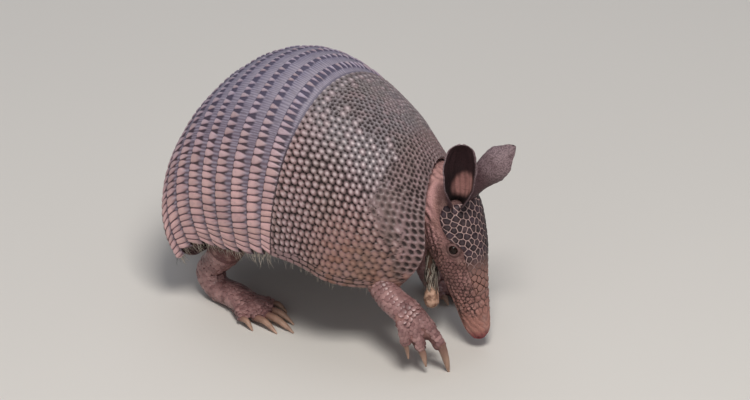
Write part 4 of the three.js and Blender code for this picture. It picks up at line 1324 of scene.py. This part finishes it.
def small_shape(name, rings, patch):
    """A closed shape for copying, in units of a millimetre, with each point's place in its map patch."""
    points, faces = loft(rings)
    mesh = bpy.data.meshes.new(name)
    mesh.from_pydata((points * METRES).tolist(), [], faces)
    face_outwards(mesh)
    mesh.shade_smooth()
    ends = [patch[0].mean(0), patch[-1].mean(0)]
    store_marks(mesh, {"patch": np.concatenate([patch.reshape(-1, 3), ends])})
    return in_scene(name, mesh)


points, normals = points_and_normals(merged)
skin_tree = BVHTree.FromPolygons(points.tolist(), [tuple(face.vertices) for face in merged.polygons])
scales = {"places": [], "forwards": [], "ups": [], "sizes": [], "root_uv": []}


def scales_along(stations, thick, corner, from_share, pitch, lowest):
    """Adds scales on the skin along a limb, except where it faces down more steeply than lowest."""
    line = flowing(stations, pitch)
    tangents, acrosses, deeps = directions(line, thick)
    for n in range(round(from_share * len(line)), len(line)):
        girth = math.pi * (line[n, 3] + line[n, 4])
        count = max(4, round(girth / pitch))
        for step in range(count):
            angle = 2 * math.pi * (step + 0.5 * (n % 2)) / count
            way = acrosses[n] * math.cos(angle) + deeps[n] * math.sin(angle)
            if way[2] <= lowest:
                continue
            outer = line[n, :3] + way * (line[n, 3] + line[n, 4]) / 2 * 1.15
            place, normal, _, distance = skin_tree.find_nearest(outer.tolist())
            if distance > SCALE_REACH or place.z < SCALE_LOWEST or np.dot(normal, way) < 0.25:
                continue
            wobble = chance(np.array([n]), np.array([step]), seed=11)[0]
            size = pitch * (0.60 + 0.08 * wobble)
            scales["places"].append(tuple(place))
            scales["forwards"].append(tuple(tangents[n]))
            scales["ups"].append(tuple(normal))
            scales["sizes"].append((size * 1.15, size, 0.32 + 0.12 * wobble))
            scales["root_uv"].append((corner[0] + 0.2 * n / len(line), corner[1] + 0.2 * step / count))


for n, limb in enumerate(LEGS.values()):
    scales_along(limb["line"], THICK_WAY, (0.25 * n, 0.75), 0.30 if n < 2 else 0.42, SHIN_SCALE, -0.55)
    for toe, (knuckle, end, _, radius, _) in enumerate(limb["toes"]):
        beyond = knuckle + (np.array(end) - knuckle) * 1.1
        stations = [(*knuckle, radius, radius), (*beyond, radius, radius)]
        scales_along(stations, (0, 0, 1), (0.25 * n, 0.05 + 0.12 * toe), 0, TOE_SCALE, 0.1)

circle = np.linspace(0, 2 * math.pi, 8, endpoint=False)
scale_sizes, scale_heights = np.array([[0.9, 1.0, 0.78, 0.36], [-0.5, 0.05, 0.62, 0.9]])[..., None]
forward = scale_sizes * np.cos(circle)
scale_rings = np.stack([forward, scale_sizes * np.sin(circle), scale_heights + 0.15 * forward], -1)
scale_shape = small_shape("leg_scale", scale_rings, scale_rings * (0.5, 0.5, 0) + (0.5, 0.5, 0))
paint = Paint("leg_scale_horn", IOR=1.5)
(shade_mark,) = paint.marks("shade")
mottle = paint.noise(150.0, 4.0)
scale_tone = paint.blend(shade_mark, (132, 96, 95), (170, 132, 129))
LEG_SCALE = paint.finish(
    Base_Color=paint.blend(mottle.between(0.4, 0.7) * 0.5, scale_tone, (92, 60, 60)),
    Roughness=0.22 + mottle * 0.25,
    Normal=paint.bump(mottle, 0.0003, 0.4),
)
leg_scales = scattered("leg_scales", scale_shape, **scales, material=LEG_SCALE, seed=3)
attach(leg_scales, "root")


# ---------------------------------------------------------------- cheek warts
# A fleshy wart hangs from the skin under each cheek: a thin stalk, wrapped in long hairs, with a pale,
# blunt and lumpy end.

WART_LENGTH = 37.0
WART_SIDES = 24
WART_SIZES = [(-0.12, 3.0), (0.3, 2.6), (0.6, 3.1), (0.8, 4.9), (0.93, 4.5), (1.0, 3.4)]

paint = Paint("wart_skin", IOR=1.42)
(along_mark,) = paint.marks("along")
stain = paint.noise(300.0, 4.0)
wart_tone = paint.blend(along_mark.between(0.55, 0.72), (84, 66, 58), (200, 162, 140))
WART_SKIN = paint.finish(
    Base_Color=paint.blend(stain.between(0.42, 0.62) * 0.8, wart_tone, (106, 72, 56)),
    Roughness=0.5 + stain * 0.25,
    Normal=paint.bump(stain, 0.0005, 0.7),
)
wart_hangs = {side: unit(0.12, 0.1 * sign, -1) for side, sign in SIDES.items()}
wart_roots = {side: head_point(46, sign * math.radians(138)) for side, sign in SIDES.items()}
for side_name, hang in wart_hangs.items():
    root = wart_roots[side_name]
    stations = [(*(root + hang * WART_LENGTH * at), size, size * 0.95) for at, size in WART_SIZES]
    rings = limb_rings(stations, (1, 0, 0), WART_SIDES, 0.8, round_ends=2.6)
    knobs = np.array([[noise.noise(Vector(point * 0.35)) for point in ring] for ring in rings])
    middles = rings.mean(1, keepdims=True)
    rings = middles + (rings - middles) * (1 + 0.16 * knobs)[..., None]
    along = np.concatenate([np.repeat(np.linspace(0, 1, len(rings)), WART_SIDES), [0, 1]])
    wart = new_piece(f"cheek_wart_{side_name}_skin", *loft(rings), {"along": along})
    wart.data.materials.append(WART_SKIN)
    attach(wart, "root")
    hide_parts(f"cheek_wart_{side_name}")


# ---------------------------------------------------------------- hairs
# The shell has almost none, but coarse hairs are rooted in the skin of the belly and flanks, lie back along
# them and show below the shell's edge. Longer grizzled ones wrap the cheek warts.

STRAND_SIDES, STRAND_STEPS = 3, 6
BELLY_HAIRS, EDGE_HAIRS, TUFT_HAIRS = 3600, 1300, 150
HAIRY_FROM, HAIRY_TO, HAIRY_LOWEST = -112, 60, 22  # the part of the skin with hairs, in x and from z up
EDGE_HAIR_DEPTH = 4.4  # below the shell's own surface, just inside its plates


def strand_shape(name, curl, waviness):
    """One strand a millimetre long to be stretched: it leaves along +X and curls over to one side."""
    at = np.linspace(0, 1, STRAND_STEPS)[:, None]
    radius = 0.014 * (1 - at) ** 0.6 + 0.002
    corner = np.linspace(0, 2 * math.pi, STRAND_SIDES, endpoint=False)
    middle = np.concatenate([at, waviness * np.sin(at * 7), -curl * at**2], 1)
    ring = np.stack([0 * corner + 0 * at, radius * np.cos(corner), radius * np.sin(corner)], -1)
    patch = np.stack([corner / 7 + 0 * at, at + 0 * corner, 0 * at + 0 * corner], -1)
    return small_shape(name, middle[:, None] + ring, patch)


def body_unwrap(points):
    """The trunk's skin laid out flat: back to front, and round it."""
    across = (points[:, 0] - HIPS_END) / (SHOULDER_LENGTH + 40 - HIPS_END)
    turn = np.arctan2(points[:, 1], 90 - points[:, 2]) / (2 * math.pi) + 0.5
    return np.stack([0.02 + 0.95 * np.clip(across, 0, 1), 0.02 + 0.95 * turn], -1)


paint = Paint("coarse_hair", IOR=1.5)
shade_mark, pale_mark = paint.marks("shade", "pale")
hair_tone = paint.blend(shade_mark, (40, 32, 30), (104, 92, 84))
grizzled = (pale_mark * 1.3 + shade_mark * 0.6 - 0.3).between(0.3, 0.9)
hair_tone = paint.blend(grizzled, hair_tone, (186, 176, 162))
HAIR = paint.finish(Base_Color=hair_tone, Roughness=0.45 + shade_mark * 0.15)

draw = np.random.default_rng(7)
under_shell = (points[:, 2] > HAIRY_LOWEST) & (normals[:, 2] < -0.15)
under_shell &= (points[:, 0] > HAIRY_FROM) & (points[:, 0] < HAIRY_TO)
for limb in LEGS.values():
    line = flowing(limb["line"], 4.0)
    from_leg = np.linalg.norm(points[:, None] - line[None, :, :3], axis=2) - line[None, :, 3] * 1.15
    under_shell &= from_leg.min(1) > 0
roots = draw.choice(np.flatnonzero(under_shell), BELLY_HAIRS, replace=False)
backward = np.array([-1.0, 0.0, -0.15])
lie = backward + normals[roots] * draw.uniform(0.25, 0.7, (len(roots), 1))
lie += draw.normal(0, 0.18, (len(roots), 3))
lengths = draw.uniform(9, 19, len(roots))
v, u = sheet(60, 61)
shell_middle = shell_point(HIPS_END + v * (SHOULDER_LENGTH - HIPS_END), u, 3.0).reshape(-1, 3)
shell_tree = BVHTree.FromPolygons(shell_middle.tolist(), quads(np.arange(v.size).reshape(v.shape)))
clear = []
for root, way, length in zip(points[roots], lie, lengths):
    clear.append(shell_tree.ray_cast(root.tolist(), way.tolist(), float(length) * 1.3)[0] is None)
roots, lie, lengths = roots[clear], lie[clear], lengths[clear]
belly_hairs = scattered(
    "belly_hairs",
    strand_shape("strand", 0.22, 0.03),
    points[roots],
    lie,
    normals[roots],
    lengths[:, None] * (1, 1, 1),
    body_unwrap(points[roots]),
    HAIR,
    seed=11,
    pale=np.clip(draw.normal(0.25, 0.3, len(roots)), 0, 1),
)
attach(belly_hairs, "root")

edge_t = draw.uniform(BANDS_END + 4, SHOULDER_LENGTH - 16, EDGE_HAIRS)
edge_side = np.where(draw.random(EDGE_HAIRS) < 0.5, -1, 1)
edge_u = edge_side * draw.uniform(0.90, 0.965, EDGE_HAIRS)
edge_roots = shell_point(edge_t, edge_u, EDGE_HAIR_DEPTH)
outward = shell_point(edge_t, edge_u) - edge_roots
outward /= np.linalg.norm(outward, axis=1)[:, None]
downward = shell_point(edge_t, edge_side, EDGE_HAIR_DEPTH) - edge_roots
downward /= np.linalg.norm(downward, axis=1)[:, None]
lie = downward - 0.1 * outward + (-0.3, 0, -0.25) + draw.normal(0, 0.16, (EDGE_HAIRS, 3))
lengths = draw.uniform(10, 20, EDGE_HAIRS) * np.where(edge_t < 0, 1.0, 0.75)
edge_hairs = scattered(
    "edge_hairs",
    strand_shape("strand", 0.12, 0.03),
    edge_roots,
    lie,
    outward,
    lengths[:, None] * (1, 1, 1),
    body_unwrap(edge_roots),
    HAIR,
    seed=12,
    pale=np.clip(draw.normal(0.72, 0.25, EDGE_HAIRS), 0, 1),
)
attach(edge_hairs, "root")

tuft_roots, tuft_lies, tuft_ups, tuft_lengths = [], [], [], []
for side_name, hang in wart_hangs.items():
    for _ in range(TUFT_HAIRS):
        share = draw.uniform(-0.1, 0.62)
        spread = draw.normal(0, 1, 3) * (1, 1, 0.2)
        spread /= np.linalg.norm(spread)
        tuft_roots.append(wart_roots[side_name] + hang * WART_LENGTH * share + spread * 2.2)
        tuft_lies.append(hang + spread * draw.uniform(0.05, 0.34))
        tuft_ups.append(spread)
        tuft_lengths.append(draw.uniform(11, 21) * (1.1 - 0.5 * max(0, share)))
cheek_tufts = scattered(
    "cheek_tufts",
    strand_shape("strand", 0.10, 0.05),
    tuft_roots,
    tuft_lies,
    tuft_ups,
    np.array(tuft_lengths)[:, None] * (1, 1.4, 1.4),
    0.02 + 0.1 * draw.random((len(tuft_roots), 2)),
    HAIR,
    seed=13,
    pale=np.clip(draw.normal(0.45, 0.4, len(tuft_roots)), 0, 1),
)
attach(cheek_tufts, "root")


# ---------------------------------------------------------------- floor, lights and camera
# The model stands on a plain pale floor. A small warm key light and a broad cool one from above light it,
# with a weak fill from its right side.

HALF_FLOOR = 3.0
floor_corners = [(x * HALF_FLOOR, y * HALF_FLOOR, 0) for x, y in ((-1, -1), (1, -1), (1, 1), (-1, 1))]
floor_mesh = bpy.data.meshes.new("floor")
floor_mesh.from_pydata(floor_corners, [], [(0, 1, 2, 3)])
floor = in_scene("floor", floor_mesh)
paint = Paint("pale_floor", Roughness=0.9)
floor_tone = paint.blend(paint.noise(3.0, 2.0) * 0.2, (214, 210, 204), (205, 201, 195))
floor_mesh.materials.append(paint.finish(Base_Color=floor_tone))
bpy.context.scene.view_settings.view_transform = "Standard"

world = bpy.data.worlds.new("studio")
bpy.context.scene.world = world
world.use_nodes = True
world.node_tree.nodes["Background"].inputs["Color"].default_value = (0.9, 0.93, 1.0, 1.0)
world.node_tree.nodes["Background"].inputs["Strength"].default_value = 0.22


def soft_light(name, towards, distance, size, power, tint):
    """An area light that shines on the animal's back from the given direction."""
    data = bpy.data.lights.new(name, "AREA")
    data.size = size
    data.energy = power
    data.color = tint
    lamp = in_scene(name, data)
    way = Vector(towards).normalized()
    lamp.location = Vector((0.0, 0.0, 0.08)) + way * distance
    lamp.rotation_euler = way.to_track_quat("Z", "Y").to_euler()


soft_light("key", (0.42, -0.32, 0.85), 2.0, 0.6, 30.0, (1.0, 0.97, 0.93))
soft_light("sky", (-0.5, 0.35, 1.0), 2.4, 2.2, 11.0, (0.85, 0.90, 1.0))
soft_light("fill", (0.3, -1.0, 0.35), 2.4, 1.6, 5.0, (1.0, 0.95, 0.93))

AZIMUTH, ELEVATION = math.radians(43.28), math.radians(28.96)
DISTANCE = 5.5
VIEW_WIDTH = 0.488  # metres across the frame at the animal
AIM_RIGHT, AIM_UP = 21.1, 65.5  # millimetres to the frame's middle from where x, y and z are 0
right = np.array([math.cos(AZIMUTH), math.sin(AZIMUTH), 0.0])
above = np.array([-math.sin(AZIMUTH), math.cos(AZIMUTH), 0.0]) * math.sin(ELEVATION)
above[2] = math.cos(ELEVATION)
back = np.cross(right, above)
camera_data = bpy.data.cameras.new("camera")
camera_data.lens = camera_data.sensor_width * DISTANCE / VIEW_WIDTH
camera_data.clip_end = 50.0
camera = in_scene("camera", camera_data)
camera.location = (right * AIM_RIGHT + above * AIM_UP + CENTRING) * METRES + back * DISTANCE
camera.rotation_euler = Vector(back).to_track_quat("Z", "Y").to_euler()
bpy.context.scene.camera = camera
